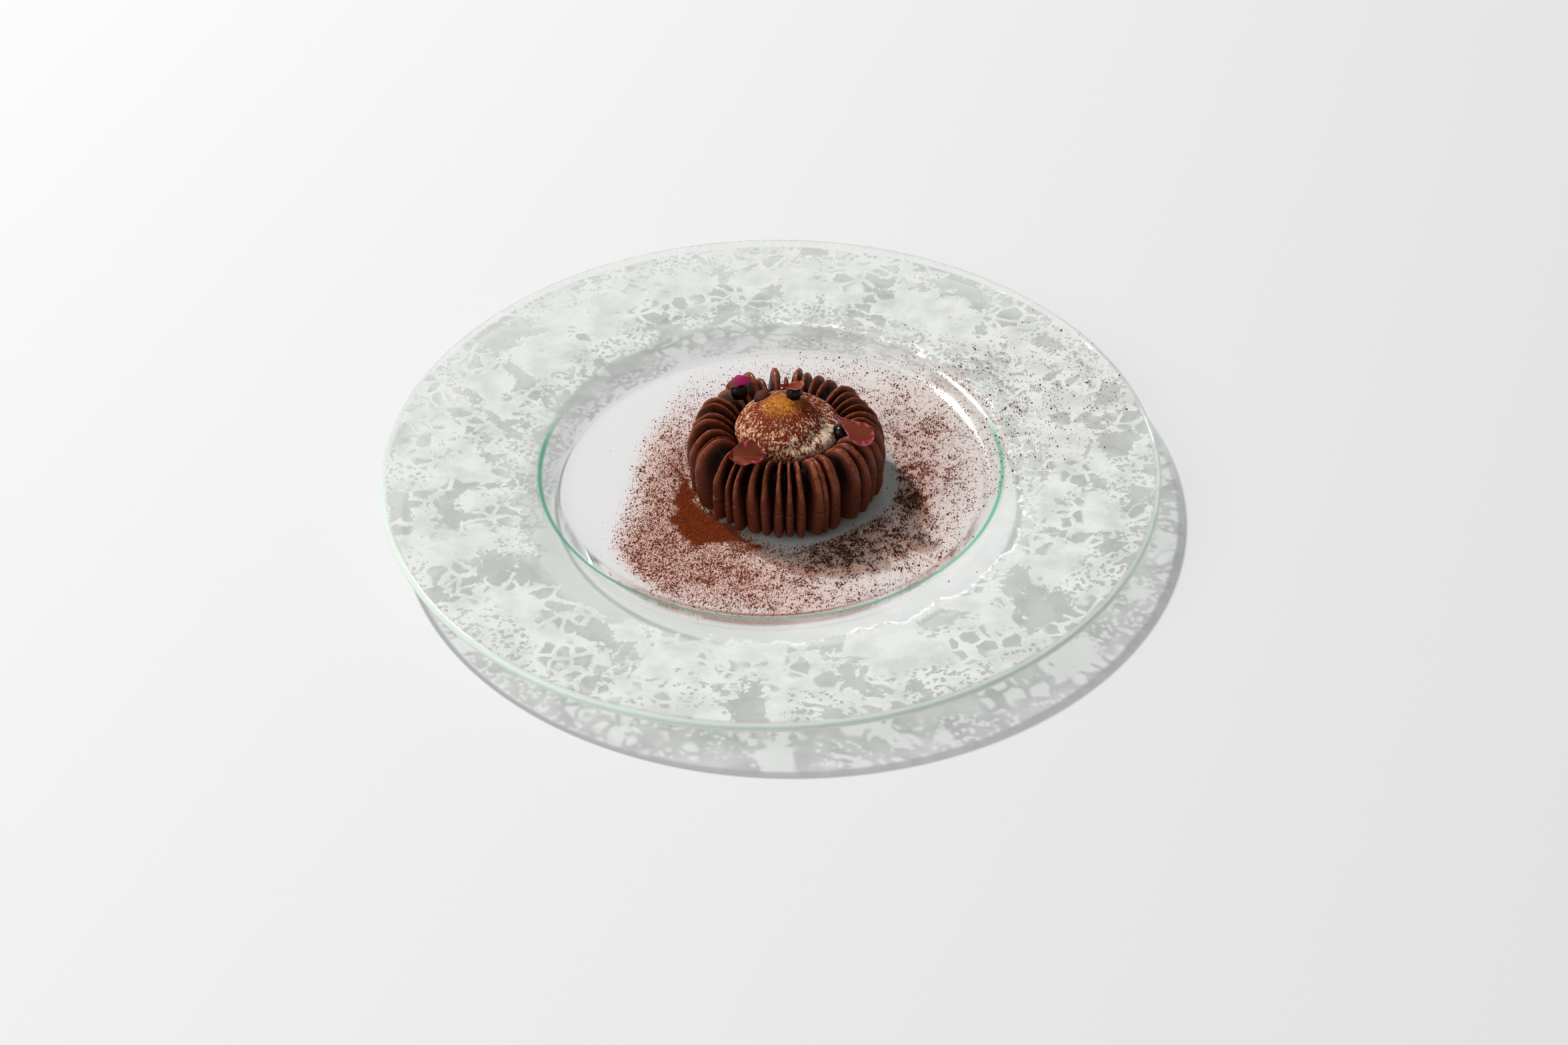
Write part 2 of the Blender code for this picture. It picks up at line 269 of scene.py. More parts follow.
# %% Draw the plate's section
GLASS = 4.0
PLATE_TOP = (
    (0.0, GLASS),
    (78.0, GLASS),
    (82.0, 4.3),
    (86.0, 5.2),
    (89.5, 6.6),
    (92.2, 8.2),
    (94.0, 9.7),
    (96.4, 11.0),
    (102.0, 11.8),
    (158.4, 16.0),
    (160.0, 14.6),
)
PLATE_UNDER = (
    (160.0, 13.2),
    (158.4, 12.0),
    (102.0, 7.8),
    (97.6, 7.0),
    (95.6, 5.2),
    (93.6, 1.4),
    (90.0, 0.0),
    (0.0, 0.0),
)
SPOKES = 288
FINE_STEP = 0.25
CORNER_REACH = 1.2
LONGEST_STEP = 0.8
SHARPEST_STEP = math.radians(7.0)


def soften(points):
    """The same line with round corners: walked in fine steps, averaged, and thinned out again."""
    points = np.array(points)
    lengths = np.hypot(*np.diff(points, axis=0).T)
    travelled = np.concatenate([[0.0], np.cumsum(lengths)])
    walk = np.arange(0.0, travelled[-1], FINE_STEP)
    fine = np.stack([np.interp(walk, travelled, points[:, n]) for n in (0, 1)], axis=1)
    reach = int(4 * CORNER_REACH / FINE_STEP)
    weights = np.exp(-0.5 * (np.arange(-reach, reach + 1) * FINE_STEP / CORNER_REACH) ** 2)
    weights /= weights.sum()
    padded = np.concatenate([np.repeat(fine[:1], reach, axis=0), fine, np.repeat(fine[-1:], reach, axis=0)])
    soft = np.stack([np.convolve(padded[:, n], weights, mode="valid") for n in (0, 1)], axis=1)
    kept = [tuple(points[0])]
    turned, since = 0.0, 0.0
    for before, here, after in zip(soft, soft[1:], soft[2:]):
        first, second = here - before, after - here
        turned += abs(math.atan2(first[0] * second[1] - first[1] * second[0], first @ second))
        since += math.hypot(*first)
        if turned > SHARPEST_STEP or since > LONGEST_STEP:
            kept.append(tuple(here))
            turned, since = 0.0, 0.0
    kept.append(tuple(points[-1]))
    return kept


def plate_top(radius):
    """The height of the plate's top at each distance from its middle, in millimetres."""
    return np.interp(radius, *np.transpose(PLATE_TOP))


section = soften(PLATE_TOP + PLATE_UNDER)
print("the section has", len(section), "points")

# %% Extrude the section and spin it
start_fresh()
bpy.ops.mesh.primitive_plane_add(size=1.0 * MM)
plate = bpy.context.object
plate.name = "glass_plate"
bpy.ops.object.mode_set(mode="EDIT")
bpy.ops.mesh.merge(type="CENTER")
bpy.ops.transform.translate(value=(section[0][0] * MM, 0.0, section[0][1] * MM))
for before, after in zip(section, section[1:]):
    step = ((after[0] - before[0]) * MM, 0.0, (after[1] - before[1]) * MM)
    bpy.ops.mesh.extrude_region_move(TRANSFORM_OT_translate={"value": step})
bpy.ops.mesh.select_all(action="SELECT")
bpy.ops.mesh.spin(steps=SPOKES, angle=2.0 * math.pi, center=(0.0, 0.0, 0.0), axis=(0.0, 0.0, 1.0))
bpy.ops.mesh.select_all(action="SELECT")
bpy.ops.mesh.remove_doubles(threshold=0.01 * MM)
bpy.ops.mesh.normals_make_consistent(inside=False)
bpy.ops.object.mode_set(mode="OBJECT")
bpy.ops.object.shade_smooth()
print("the plate is", round(plate.dimensions.x / MM, 1), "mm across")

# %% [markdown]
# ## Where the cocoa lies
# Cocoa was sieved over the dessert from the left and blown to the right: a solid patch hugs the base at the
# front left, loose clumps cover the well on the right and in front, and a thin veil drifts over the rim.
# Each drift is a soft hill with a middle, a spread and the share of the glass that it covers.
# A clean crescent is left at the front and right, where the ring round the mousse was lifted off.

# %% Describe the cocoa
MOUSSE_X, MOUSSE_Y = 6.3, -4.0
MOUSSE_REACH = 39.0
DRIFTS = (
    (-38.0, 4.0, 13.0, 0.5),
    (-44.0, -12.0, 9.0, 0.3),
    (-41.0, 24.0, 13.0, 0.26),
    (-26.0, 42.0, 15.0, 0.17),
    (-38.0, -30.0, 13.0, 0.5),
    (-48.0, -44.0, 13.0, 0.34),
    (-24.0, -53.0, 12.0, 0.38),
    (-58.0, -58.0, 13.0, 0.26),
    (-34.0, -70.0, 15.0, 0.32),
    (-5.0, -62.0, 13.0, 0.3),
    (0.0, -82.0, 15.0, 0.28),
    (27.0, -76.0, 14.0, 0.24),
    (29.0, -49.0, 8.0, 0.7),
    (14.0, -53.0, 6.0, 0.35),
    (43.0, -41.0, 8.0, 0.6),
    (56.0, -47.0, 12.0, 0.24),
    (64.0, -36.0, 8.0, 0.22),
    (62.0, -62.0, 13.0, 0.12),
    (54.0, 19.0, 9.0, 0.38),
    (70.0, 26.0, 9.0, 0.24),
    (59.0, 0.0, 9.0, 0.5),
    (56.0, -18.0, 8.0, 0.6),
    (78.0, 2.0, 11.0, 0.18),
    (80.0, -20.0, 11.0, 0.12),
    (46.0, 43.0, 14.0, 0.2),
    (66.0, 46.0, 13.0, 0.14),
    (28.0, 60.0, 15.0, 0.12),
    (0.0, 60.0, 13.0, 0.1),
    (84.0, 56.0, 16.0, 0.06),
    (100.0, 26.0, 17.0, 0.06),
    (121.0, 44.0, 20.0, 0.04),
    (106.0, 6.0, 12.0, 0.03),
    (142.0, 50.0, 16.0, 0.02),
)
MOST_COVER = 0.62
# The solid patch: its outline in millimetres
PATCH = (
    (-45.0, 5.0),
    (-39.0, -4.0),
    (-41.0, -22.0),
    (-42.0, -34.0),
    (-35.0, -43.0),
    (-27.0, -45.5),
    (-15.0, -46.0),
    (-7.0, -48.5),
    (0.0, -47.0),
    (-9.0, -42.0),
    (-17.0, -32.0),
    (-25.0, -24.0),
    (-29.0, -12.0),
    (-33.0, 0.0),
)
# The clean crescent: its width in front of the mousse at each angle round it
CLEAN_ANGLES = (-180.0, -112.0, -100.0, -88.0, -50.0, -30.0, -10.0, 22.0, 45.0, 60.0, 180.0)
CLEAN_WIDTHS = (-5.0, -5.0, 1.6, 3.2, 2.6, 4.6, 7.2, 6.0, 1.0, -5.0, -5.0)
# How far out the cocoa reaches at each angle round the plate
LIMIT_ANGLES = (0, 45, 66, 84, 104, 116, 137, 162, 186, 203, 216, 230, 240, 300, 345, 360)
LIMIT_RADII = (150, 165, 130, 93, 86, 79, 63, 58, 59, 68, 79, 84, 89, 90, 93, 150)
# Shares of the cocoa: lost beyond the limit, left in the clean crescent, and the most anywhere
LOST_BEYOND = 0.985
LEFT_IN_CRESCENT = 0.03
PATCH_COVER = 0.96
FULL_COVER = 0.97
# Over how many millimetres the limit and the patch fade, and the crescent's edge
LIMIT_FADE, PATCH_FADE, CRESCENT_FADE = 9.0, 9.0, 2.6


def patch_depth(x, y):
    """How far inside the solid patch a place lies, negative outside. Clouds fray its edge."""
    x = x + 6.0 * (cloud(x, y, 4.0, 31) - 0.5) + 2.4 * (cloud(x, y, 1.3, 32) - 0.5)
    y = y + 6.0 * (cloud(x, y, 4.0, 33) - 0.5) + 2.4 * (cloud(x, y, 1.3, 34) - 0.5)
    inside = np.zeros(x.shape, bool)
    nearest = np.full(x.shape, 1e9)
    for (ax, ay), (bx, by) in zip(PATCH, PATCH[1:] + PATCH[:1]):
        crosses = (ay > y) != (by > y)
        with np.errstate(divide="ignore", invalid="ignore"):
            inside ^= crosses & (x < (bx - ax) * (y - ay) / (by - ay) + ax)
        projected = (x - ax) * (bx - ax) + (y - ay) * (by - ay)
        along = np.clip(projected / ((bx - ax) ** 2 + (by - ay) ** 2), 0, 1)
        nearest = np.minimum(nearest, np.hypot(x - ax - along * (bx - ax), y - ay - along * (by - ay)))
    return np.where(inside, nearest, -nearest)


def cocoa_cover(x, y):
    """The share of the glass that cocoa covers at a place, from 0 to 1, before it falls into clumps."""
    cover = np.zeros(x.shape)
    for middle_x, middle_y, spread, amount in DRIFTS:
        cover += amount * np.exp(-((x - middle_x) ** 2 + (y - middle_y) ** 2) / (2.0 * spread**2))
    round_plate = np.degrees(np.arctan2(y, x)) % 360.0
    limit = np.interp(round_plate, LIMIT_ANGLES, LIMIT_RADII)
    beyond = ease((np.hypot(x, y) - limit + 6.0) / LIMIT_FADE)
    cover = np.minimum(cover, MOST_COVER) * (1.0 - LOST_BEYOND * beyond)
    cover = np.maximum(cover, ease(patch_depth(x, y) / PATCH_FADE + 0.6) * PATCH_COVER)
    round_mousse = np.degrees(np.arctan2(y - MOUSSE_Y, x - MOUSSE_X))
    clean = np.interp(round_mousse, CLEAN_ANGLES, CLEAN_WIDTHS)
    from_mousse = np.hypot(x - MOUSSE_X, y - MOUSSE_Y) - MOUSSE_REACH
    cover *= LEFT_IN_CRESCENT + 0.97 * ease((from_mousse - clean + 1.2) / CRESCENT_FADE)
    return np.clip(cover, 0.0, FULL_COVER)


probe = cocoa_cover(np.array([-33.0, 60.0, 0.0]), np.array([-30.0, 0.0, 62.0]))
print("cocoa covers", [round(float(value), 2) for value in probe], "of the glass at three places")

# %% [markdown]
# ## Glass and enamel
# The plate is clear pressed glass. A layer of white enamel was screen-printed on the rim's top and fired.
# It is thick in some places and lets light through in others, and it pulled back into a frosted crackle:
# groups of open cells, ragged bare patches, and bubbles round the patches, by the well and near the edge.
# A thin film is left in the holes too. In front the print stops at a scalloped border outside the well.
# The pattern is made from cracked cells and clouds of real sizes in millimetres. A number on each vertex
# says where the print lies, where the green of thick glass is painted, where it bends to the well, where
# dust lies, and where the mousse's shade and reflection are painted grey on the clean glass.
# Light goes straight through the bends and half through the rim, since a true bend
# of such thick glass draws dark lines that a photograph of a thin, bright plate doesn't have.

# %% Write the plate's numbers
TOP_SKIN = 0.7
PRINT_FROM, PRINT_TO = 96.0, 157.0
WELL_LINE_FROM, WELL_LINE_TO = 94.3, 96.5
EDGE_FROM = 157.4
WALL_FROM, WALL_TO = 87.0, 116.0
DUST_TO = 100.0
MOUSSE_SHADE_TO = 13.0

places = vertex_places(plate)
radius = np.hypot(places[:, 0], places[:, 1])
on_top = np.abs(places[:, 2] - plate_top(radius)) < TOP_SKIN
printed = on_top * ease((radius - PRINT_FROM) / 2.0) * (1.0 - ease((radius - PRINT_TO) / 0.8))
at_well = ease((radius - WELL_LINE_FROM) / 0.4) * ease((WELL_LINE_TO - radius) / 0.4) * on_top
# The green lines are the glass's own tint, partly painted light: the green of light running through the thick
# bend and edge is painted on as a line, fading towards the back, where it doesn't show from this side
well_fade = 0.15 + 0.85 * ease((40.0 - places[:, 1]) / 30.0)
edge_fade = 0.2 + 0.8 * ease((60.0 - places[:, 1]) / 110.0)
set_attribute(plate, "printed", printed)
set_attribute(plate, "well_line", at_well * well_fade)
set_attribute(plate, "edge", ease((radius - EDGE_FROM) / 1.0) * edge_fade)
set_attribute(plate, "wall", ease((radius - WALL_FROM) / 3.0) * ease((WALL_TO - radius) / 6.0))
# Painted shade and reflection: in front, close to the mousse, the clean glass gets a grey layer where the
# mousse's shadow and reflection fall
from_mousse = np.hypot(places[:, 0] - MOUSSE_X, places[:, 1] - MOUSSE_Y) - MOUSSE_REACH
mousse_shade_paint = 0.6 * ease((MOUSSE_SHADE_TO - from_mousse) / 6.0) * ease((24.0 - places[:, 1]) / 12.0)
film = np.clip(1.05 * cocoa_cover(places[:, 0], places[:, 1]), 0.0, 1.0)
set_attribute(plate, "dust", film * on_top * (radius < DUST_TO))
set_attribute(plate, "mousse_shade_paint", mousse_shade_paint * (1.0 - film) * on_top)
print("printed vertices:", int((printed > 0.5).sum()))

# %% Lay out the enamel's holes
# Sizes in millimetres: from crack to crack, from group to group, and so on
CRACK_CELL = 8.5
CELL_GROUP = 30
BARE_PATCH = 26
BUBBLE = 2.3
SCALLOP = 14
BEND = 11

glass, tree, output, in_mm = new_material("pressed glass with enamel")
flat = add(tree, "VectorMath", {"operation": "MULTIPLY", 1: (1.0, 1.0, 0.0)}, {0: in_mm})
reach_out = add(tree, "VectorMath", {"operation": "LENGTH"}, {0: flat})
side = add(tree, "SeparateXYZ", {}, {0: flat})
wobble = add(tree, "TexNoise", {"Scale": 1 / BEND, "Detail": 3.0}, {"Vector": flat})
shift = add(tree, "VectorMath", {**SCALE_SHIFT, 1: (7.0,) * 3, 2: (-3.5,) * 3}, {0: wobble.outputs["Color"]})
bent = add(tree, "VectorMath", SUM, {0: flat, 1: shift})

cells = add(tree, "TexVoronoi", {"feature": "DISTANCE_TO_EDGE", "Scale": 1 / CRACK_CELL}, {"Vector": bent})
in_cell = add(tree, "MapRange", {**SOFT_STEP, 1: 0.08, 2: 0.14}, {0: cells})
groups = add(tree, "TexNoise", {"Scale": 1 / CELL_GROUP, "Detail": 2.0}, {"Vector": flat})
in_group = add(tree, "MapRange", {**SOFT_STEP, 1: 0.51, 2: 0.55}, {0: groups})
open_cells = add(tree, "Math", PRODUCT, {0: in_cell, 1: in_group})

bare = add(
    tree,
    "TexNoise",
    {"Scale": 1 / BARE_PATCH, "Detail": 7.0, "Roughness": 0.6, "Distortion": 0.5},
    {"Vector": flat},
)
bare_patches = add(tree, "MapRange", {**SOFT_STEP, 1: 0.56, 2: 0.59}, {0: bare})

near_patch = add(tree, "MapRange", {**SOFT_STEP, 1: 0.54, 2: 0.56}, {0: bare})
near_well = add(tree, "MapRange", {**SOFT_STEP, 1: 117.0, 2: 107.0}, {0: reach_out})
far_out = add(tree, "MapRange", {**SOFT_STEP, 1: 136.0, 2: 142.0}, {0: reach_out})
off_group = add(tree, "MapRange", {**SOFT_STEP, 1: 0.5, 2: 0.46}, {0: groups})
outer_zone = add(tree, "Math", PRODUCT, {0: far_out, 1: off_group})
patch_or_outer = add(tree, "Math", LARGER, {0: near_patch, 1: outer_zone})
bubble_zone = add(tree, "Math", LARGER, {0: patch_or_outer, 1: near_well})
dots = add(tree, "TexVoronoi", {"Scale": 1 / BUBBLE}, {"Vector": bent})
dot_holes = add(tree, "MapRange", {**SOFT_STEP, 1: 0.47, 2: 0.39}, {0: dots})
bubbles = add(tree, "Math", PRODUCT, {0: dot_holes, 1: bubble_zone})

front = add(tree, "MapRange", {**SOFT_STEP, 1: 10.0, 2: -70.0, 3: 98.0, 4: 111.0}, {0: side.outputs["Y"]})
scallop = add(tree, "TexNoise", {"Scale": 1 / SCALLOP, "Detail": 3.0}, {"Vector": flat})
scalloped = add(tree, "Math", {**SCALE_SHIFT, 1: 16.0, 2: -8.0}, {0: scallop})
border = add(tree, "Math", SUM, {0: front, 1: scalloped})
past_border = add(tree, "Math", DIFFERENCE, {0: border, 1: reach_out})
inner_bare = add(tree, "MapRange", {**SOFT_STEP, 1: -0.3, 2: 0.3}, {0: past_border})

cells_or_patches = add(tree, "Math", LARGER, {0: open_cells, 1: bare_patches})
bubbles_or_bare = add(tree, "Math", LARGER, {0: bubbles, 1: inner_bare})
holes = add(tree, "Math", LARGER, {0: cells_or_patches, 1: bubbles_or_bare})
whole = add(tree, "Math", {**SCALE_SHIFT, 1: -0.7, 2: 1.0}, {0: holes})
print_mask = add(tree, "Attribute", {"attribute_name": "printed"}).outputs["Fac"]
density = add(tree, "TexNoise", {"Scale": 1 / 13, "Detail": 4.0}, {"Vector": flat})
opacity = add(tree, "MapRange", {1: 0.36, 2: 0.6, 3: 0.62, 4: 0.98}, {0: density})
coated = add(tree, "Math", PRODUCT, {0: whole, 1: opacity})
enamel_mask = add(tree, "Math", PRODUCT, {0: coated, 1: print_mask})
print("the enamel's pattern takes", len(tree.nodes), "nodes")

# %% Mix the glass and lay the enamel on it
well_line = add(tree, "Attribute", {"attribute_name": "well_line"}).outputs["Fac"]
edge = add(tree, "Attribute", {"attribute_name": "edge"}).outputs["Fac"]
wall = add(tree, "Attribute", {"attribute_name": "wall"}).outputs["Fac"]
on_rim = add(tree, "Mix", {**COLOURS, 6: linear("#fefefe"), 7: linear("#fbfdfb")}, {0: print_mask})
pale = add(tree, "Mix", {**COLOURS, 7: linear("#e6f2e8")}, {0: edge, 6: on_rim})
tint = add(tree, "Mix", {**COLOURS, 7: linear("#69b898")}, {0: well_line, 6: pale})
clear = add(
    tree,
    "BsdfPrincipled",
    {"Roughness": 0.02, "IOR": 1.46, "Transmission Weight": 1.0},
    {"Base Color": tint},
)
let_through = add(tree, "BsdfTransparent", {}, {"Color": tint})
ray = add(tree, "LightPath")
lights = add(tree, "Math", LARGER, {0: ray.outputs["Is Shadow Ray"], 1: ray.outputs["Is Diffuse Ray"]})
unbent = add(tree, "Math", {**PRODUCT, 1: 0.95}, {0: wall})
rim_edge = add(tree, "Math", {**PRODUCT, 1: 0.8}, {0: edge})
rim_flat = add(tree, "Math", {**PRODUCT, 1: 0.6}, {0: print_mask})
flat_or_edge = add(tree, "Math", LARGER, {0: rim_flat, 1: rim_edge})
seen_straight = add(tree, "Math", LARGER, {0: unbent, 1: flat_or_edge})
straight = add(tree, "Math", LARGER, {0: lights, 1: seen_straight})
lit_through = add(tree, "MixShader", {}, {0: straight, 1: clear, 2: let_through})

# Painted light: the green seen through the glass's thickness is laid on as an opaque green layer
green = add(tree, "Math", LARGER, {0: well_line, 1: edge})
painted_green_share = add(tree, "Math", {**PRODUCT, 1: 0.75}, {0: green})
painted_glass_green = add(tree, "BsdfPrincipled", {"Roughness": 0.15}, {"Base Color": tint})
edged = add(tree, "MixShader", {}, {0: painted_green_share, 1: lit_through, 2: painted_glass_green})
polished = add(tree, "Math", {**PRODUCT, 1: 0.05}, {0: wall})
polish = add(tree, "BsdfPrincipled", {"Base Color": (1.0, 1.0, 1.0, 1.0), "Metallic": 1.0, "Roughness": 0.2})
shiny = add(tree, "MixShader", {}, {0: polished, 1: edged, 2: polish})

# Painted highlight: the enamel's inner border on the right is painted white, where the lamp catches its edge
at_border = add(tree, "MapRange", {**SOFT_STEP, 1: -1.6, 2: -1.0}, {0: past_border})
on_right = add(tree, "MapRange", {**SOFT_STEP, 1: -10.0, 2: 20.0}, {0: side.outputs["X"]})
painted_lit_border = add(tree, "Math", PRODUCT, {0: at_border, 1: on_right})
white = add(tree, "Mix", {**COLOURS, 6: linear("#dddfdb"), 7: linear("#ffffff")}, {0: painted_lit_border})
enamel = add(tree, "BsdfPrincipled", {"Roughness": 0.5, "Specular IOR Level": 0.4}, {"Base Color": white})
thin = add(tree, "Math", {**PRODUCT, 1: 0.24}, {0: lights})
thin_enamel = add(tree, "MixShader", {}, {0: thin, 1: enamel, 2: let_through})
with_enamel = add(tree, "MixShader", {}, {0: enamel_mask, 1: shiny, 2: thin_enamel})

# %% Dust the glass and paint the mousse's shade and reflection on the crescent
dust = add(tree, "Attribute", {"attribute_name": "dust"}).outputs["Fac"]
fine = add(tree, "TexNoise", {"Scale": 1 / 0.7, "Detail": 4.0}, {"Vector": flat})
speckle = add(tree, "MapRange", {1: 0.3, 2: 0.7, 3: 0.5, 4: 0.95}, {0: fine})
thick = add(tree, "Math", {"operation": "POWER", 1: 3.0}, {0: dust})
film_tone = add(tree, "Mix", {**COLOURS, 6: linear("#dc8c5a"), 7: linear("#8c3c1c")}, {0: thick})
powder = add(tree, "BsdfPrincipled", {"Roughness": 1.0, "Specular IOR Level": 0.0}, {"Base Color": film_tone})
veil = add(tree, "Math", PRODUCT, {0: speckle, 1: dust})
film_mask = add(tree, "Math", LARGER, {0: veil, 1: thick})
seen = add(tree, "Math", {**DIFFERENCE, 0: 1.0}, {1: lights})
film_seen = add(tree, "Math", PRODUCT, {0: film_mask, 1: seen})
with_dust = add(tree, "MixShader", {}, {0: film_seen, 1: with_enamel, 2: powder})
# Painted shade and reflection of the mousse on the clean crescent, left out for rays from the lamps
mousse_shade_paint = add(tree, "Attribute", {"attribute_name": "mousse_shade_paint"}).outputs["Fac"]
mousse_shade_seen = add(tree, "Math", PRODUCT, {0: mousse_shade_paint, 1: seen})
painted_mousse_shade = add(
    tree,
    "BsdfPrincipled",
    {"Base Color": linear("#8c908a"), "Roughness": 0.3, "Specular IOR Level": 0.3},
)
with_mousse_shade = add(tree, "MixShader", {}, {0: mousse_shade_seen, 1: with_dust, 2: painted_mousse_shade})
tree.links.new(with_mousse_shade.outputs[0], output.inputs["Surface"])
hand_over(plate, glass, "glass", "plate")

# %% [markdown]
# ## The mousse and its piped petals
# The cook turned the mousse on a stand and piped one petal of soft ganache after another: from the plate up
# the side, over the edge and down into the hollow. Each has a narrow round ridge and steep flanks, ends in
# a round drop at the plate, and carries a small nick where the nozzle paused.
# A grid as wide as all petals side by side is wrapped round like a paper collar: one direction runs round
# the mousse, the other along the petals' path. The measured model uses the same angles and the same path.

# %% Describe the petals
MOUSSE_BASE = 4.05
PETAL_SEED = 11
REACH_SPREAD = (-0.9, 0.5)
LEAN_SPREAD = (-0.35, 0.35)
CREASE_WANDER = 0.02
CREST_DEEPENING = 4.0
# The share of its place that a petal fills on the crest: thin blades at the left and the right, broad
# petals at the front right, and round fingers at the back
CREST_ANGLES = (-180, -145, -120, -85, -72, -60, -30, -10, 20, 50, 75, 130, 150, 180)
CREST_SHARES = (0.3, 0.3, 0.34, 0.4, 0.52, 0.74, 0.66, 0.42, 0.36, 0.42, 0.66, 0.6, 0.38, 0.3)
# First crease in degrees, share of its place that a petal fills, rise over the rest
PETALS = (
    (-187.5, 0.86, 1.0),
    (-173.5, 0.72, 0.1),
    (-162.0, 0.80, -0.4),
    (-156.0, 0.80, 0.3),
    (-145.0, 0.72, 0.0),
    (-134.5, 0.70, -0.3),
    (-126.4, 0.70, -0.3),
    (-118.0, 0.84, 0.4),
    (-106.0, 0.64, 0.0),
    (-99.6, 0.80, 0.0),
    (-92.0, 0.74, 0.2),
    (-85.6, 0.64, -0.1),
    (-78.5, 0.84, 0.4),
    (-69.3, 0.72, 0.1),
    (-62.8, 0.86, 0.8),
    (-51.0, 0.80, 0.5),
    (-40.6, 0.76, 0.0),
    (-32.7, 0.82, 0.5),
    (-22.5, 0.76, 0.6),
    (-13.5, 0.74, 0.0),
    (-3.5, 0.66, -0.2),
    (5.8, 0.70, 0.2),
    (14.2, 0.74, 0.4),
    (23.0, 0.68, -0.4),
    (31.5, 0.66, -0.5),
    (39.0, 0.84, 0.5),
    (52.0, 0.66, -0.2),
    (61.0, 0.68, 0.0),
    (69.5, 0.66, 0.5),
    (77.6, 0.78, 1.3),
    (86.2, 0.60, -2.2),
    (93.2, 0.78, 1.7),
    (103.5, 0.72, -1.4),
    (112.8, 0.76, 2.0),
    (123.0, 0.70, 0.0),
    (134.0, 0.70, -1.2),
    (143.5, 0.70, 0.0),
    (152.3, 0.66, 0.2),
    (160.6, 0.74, 0.0),
)
# Along a petal: radius, height over the base, depth of the creases, share of the reach, share of the rise
PETAL_PATH = (
    (38.4, 0.0, 4.8, 0.6, 0.0),
    (39.6, 4.5, 6.8, 1.0, 0.0),
    (40.3, 10.0, 7.8, 1.0, 0.0),
    (40.6, 16.0, 8.2, 1.0, 0.1),
    (40.0, 21.5, 8.0, 0.8, 0.3),
    (38.2, 26.2, 7.6, 0.5, 0.7),
    (35.1, 29.9, 7.0, 0.2, 1.0),
    (31.5, 31.8, 6.4, 0.0, 1.0),
    (27.8, 31.5, 5.8, 0.0, 0.8),
    (24.4, 29.5, 5.0, 0.0, 0.4),
    (21.6, 26.2, 3.6, 0.0, 0.1),
    (19.2, 22.7, 1.6, 0.0, 0.0),
    (16.5, 20.0, 0.0, 0.0, 0.0),
)
DEEPEST = 8.2
# Places over the round cap of a petal, in degrees from its middle
CAP_ANGLES = (-90.0, -68.0, -46.0, -24.0, 0.0, 24.0, 46.0, 68.0, 90.0)
# Each petal has a crease, a flank foot, a flank middle, the cap, and the other flank
COLUMNS = len(CAP_ANGLES) + 5
# Rows along a petal: where each stretch starts, and the step from row to row
ROW_STRETCHES = ((0.0, 0.32), (3.0, 0.6), (11.4, 0.26), (16.4, 0.56))

# %% Give each petal its own character
draw = random.Random(PETAL_SEED)
layout = []
for angle, share, rise in PETALS:
    petal = {"angle": math.radians(angle), "share": share, "rise": rise}
    petal["reach"] = draw.uniform(*REACH_SPREAD)
    petal["lean"] = draw.uniform(*LEAN_SPREAD)
    petal["wander"] = draw.uniform(-CREASE_WANDER, CREASE_WANDER)
    layout.append(petal)
for petal in layout:
    petal["foot"] = draw.uniform(0.0, 0.5)
    petal["round"] = draw.uniform(1.0, 1.9)
    petal["nick"] = draw.uniform(12.4, 15.2)
    petal["nick_depth"] = draw.uniform(1.0, 1.9)
    petal["skew"] = draw.uniform(-0.22, 0.22)
    petal["seed"] = draw.uniform(0.0, 100.0)
    petal["side"] = 0.6 + 0.43 * petal["share"]
    around_it = (math.degrees(petal["angle"]) + 184.5) % 360.0 - 180.0
    petal["crest"] = float(np.interp(around_it, CREST_ANGLES, CREST_SHARES)) * (0.5 + 0.68 * petal["share"])


def smooth_path(points, steps):
    """A smooth line through the points, as values at evenly spaced shares of its length."""
    points = np.array(points)
    lengths = np.hypot(*np.diff(points[:, :2], axis=0).T)
    knots = np.concatenate([[0.0], np.cumsum(lengths)])
    slopes = np.gradient(points, knots, axis=0)
    found = []
    for place in steps * knots[-1]:
        n = min(int(np.searchsorted(knots, place, side="right")) - 1, len(knots) - 2)
        width = knots[n + 1] - knots[n]
        t = (place - knots[n]) / width
        start = (1 + 2 * t) * (1 - t) ** 2 * points[n] + t * (1 - t) ** 2 * width * slopes[n]
        end = t * t * (3 - 2 * t) * points[n + 1] + t * t * (t - 1) * width * slopes[n + 1]
        found.append(start + end)
    return np.array(found), knots[-1]


path_length = smooth_path(PETAL_PATH, np.array([0.0]))[1]
stretch_ends = [start for start, step in ROW_STRETCHES[1:]] + [path_length]
rows = [np.arange(start, end, step) for (start, step), end in zip(ROW_STRETCHES, stretch_ends)]
steps = np.concatenate(rows + [[path_length]]) / path_length
path, path_length = smooth_path(PETAL_PATH, steps)
along = np.gradient(path[:, :2], axis=0)
along /= np.hypot(*along.T)[:, None]
outward = np.stack([along[:, 1], -along[:, 0]], axis=1)
print("a petal is", round(path_length, 1), "mm long in", len(path), "rows")

# %% Where the berries sink in
# Name, centre, radius, cocoa on it
BERRIES = (
    ("berry_back_left", (-12.9, 16.4, 35.2), 3.8, 0.32),
    ("berry_left", (-2.7, 5.2, 39.2), 3.9, 0.5),
    ("berry_top", (9.8, 1.4, 45.3), 3.3, 0.1),
    ("berry_right", (28.6, -10.4, 33.2), 3.6, 0.1),
)
SOCKET_GAP = 0.15


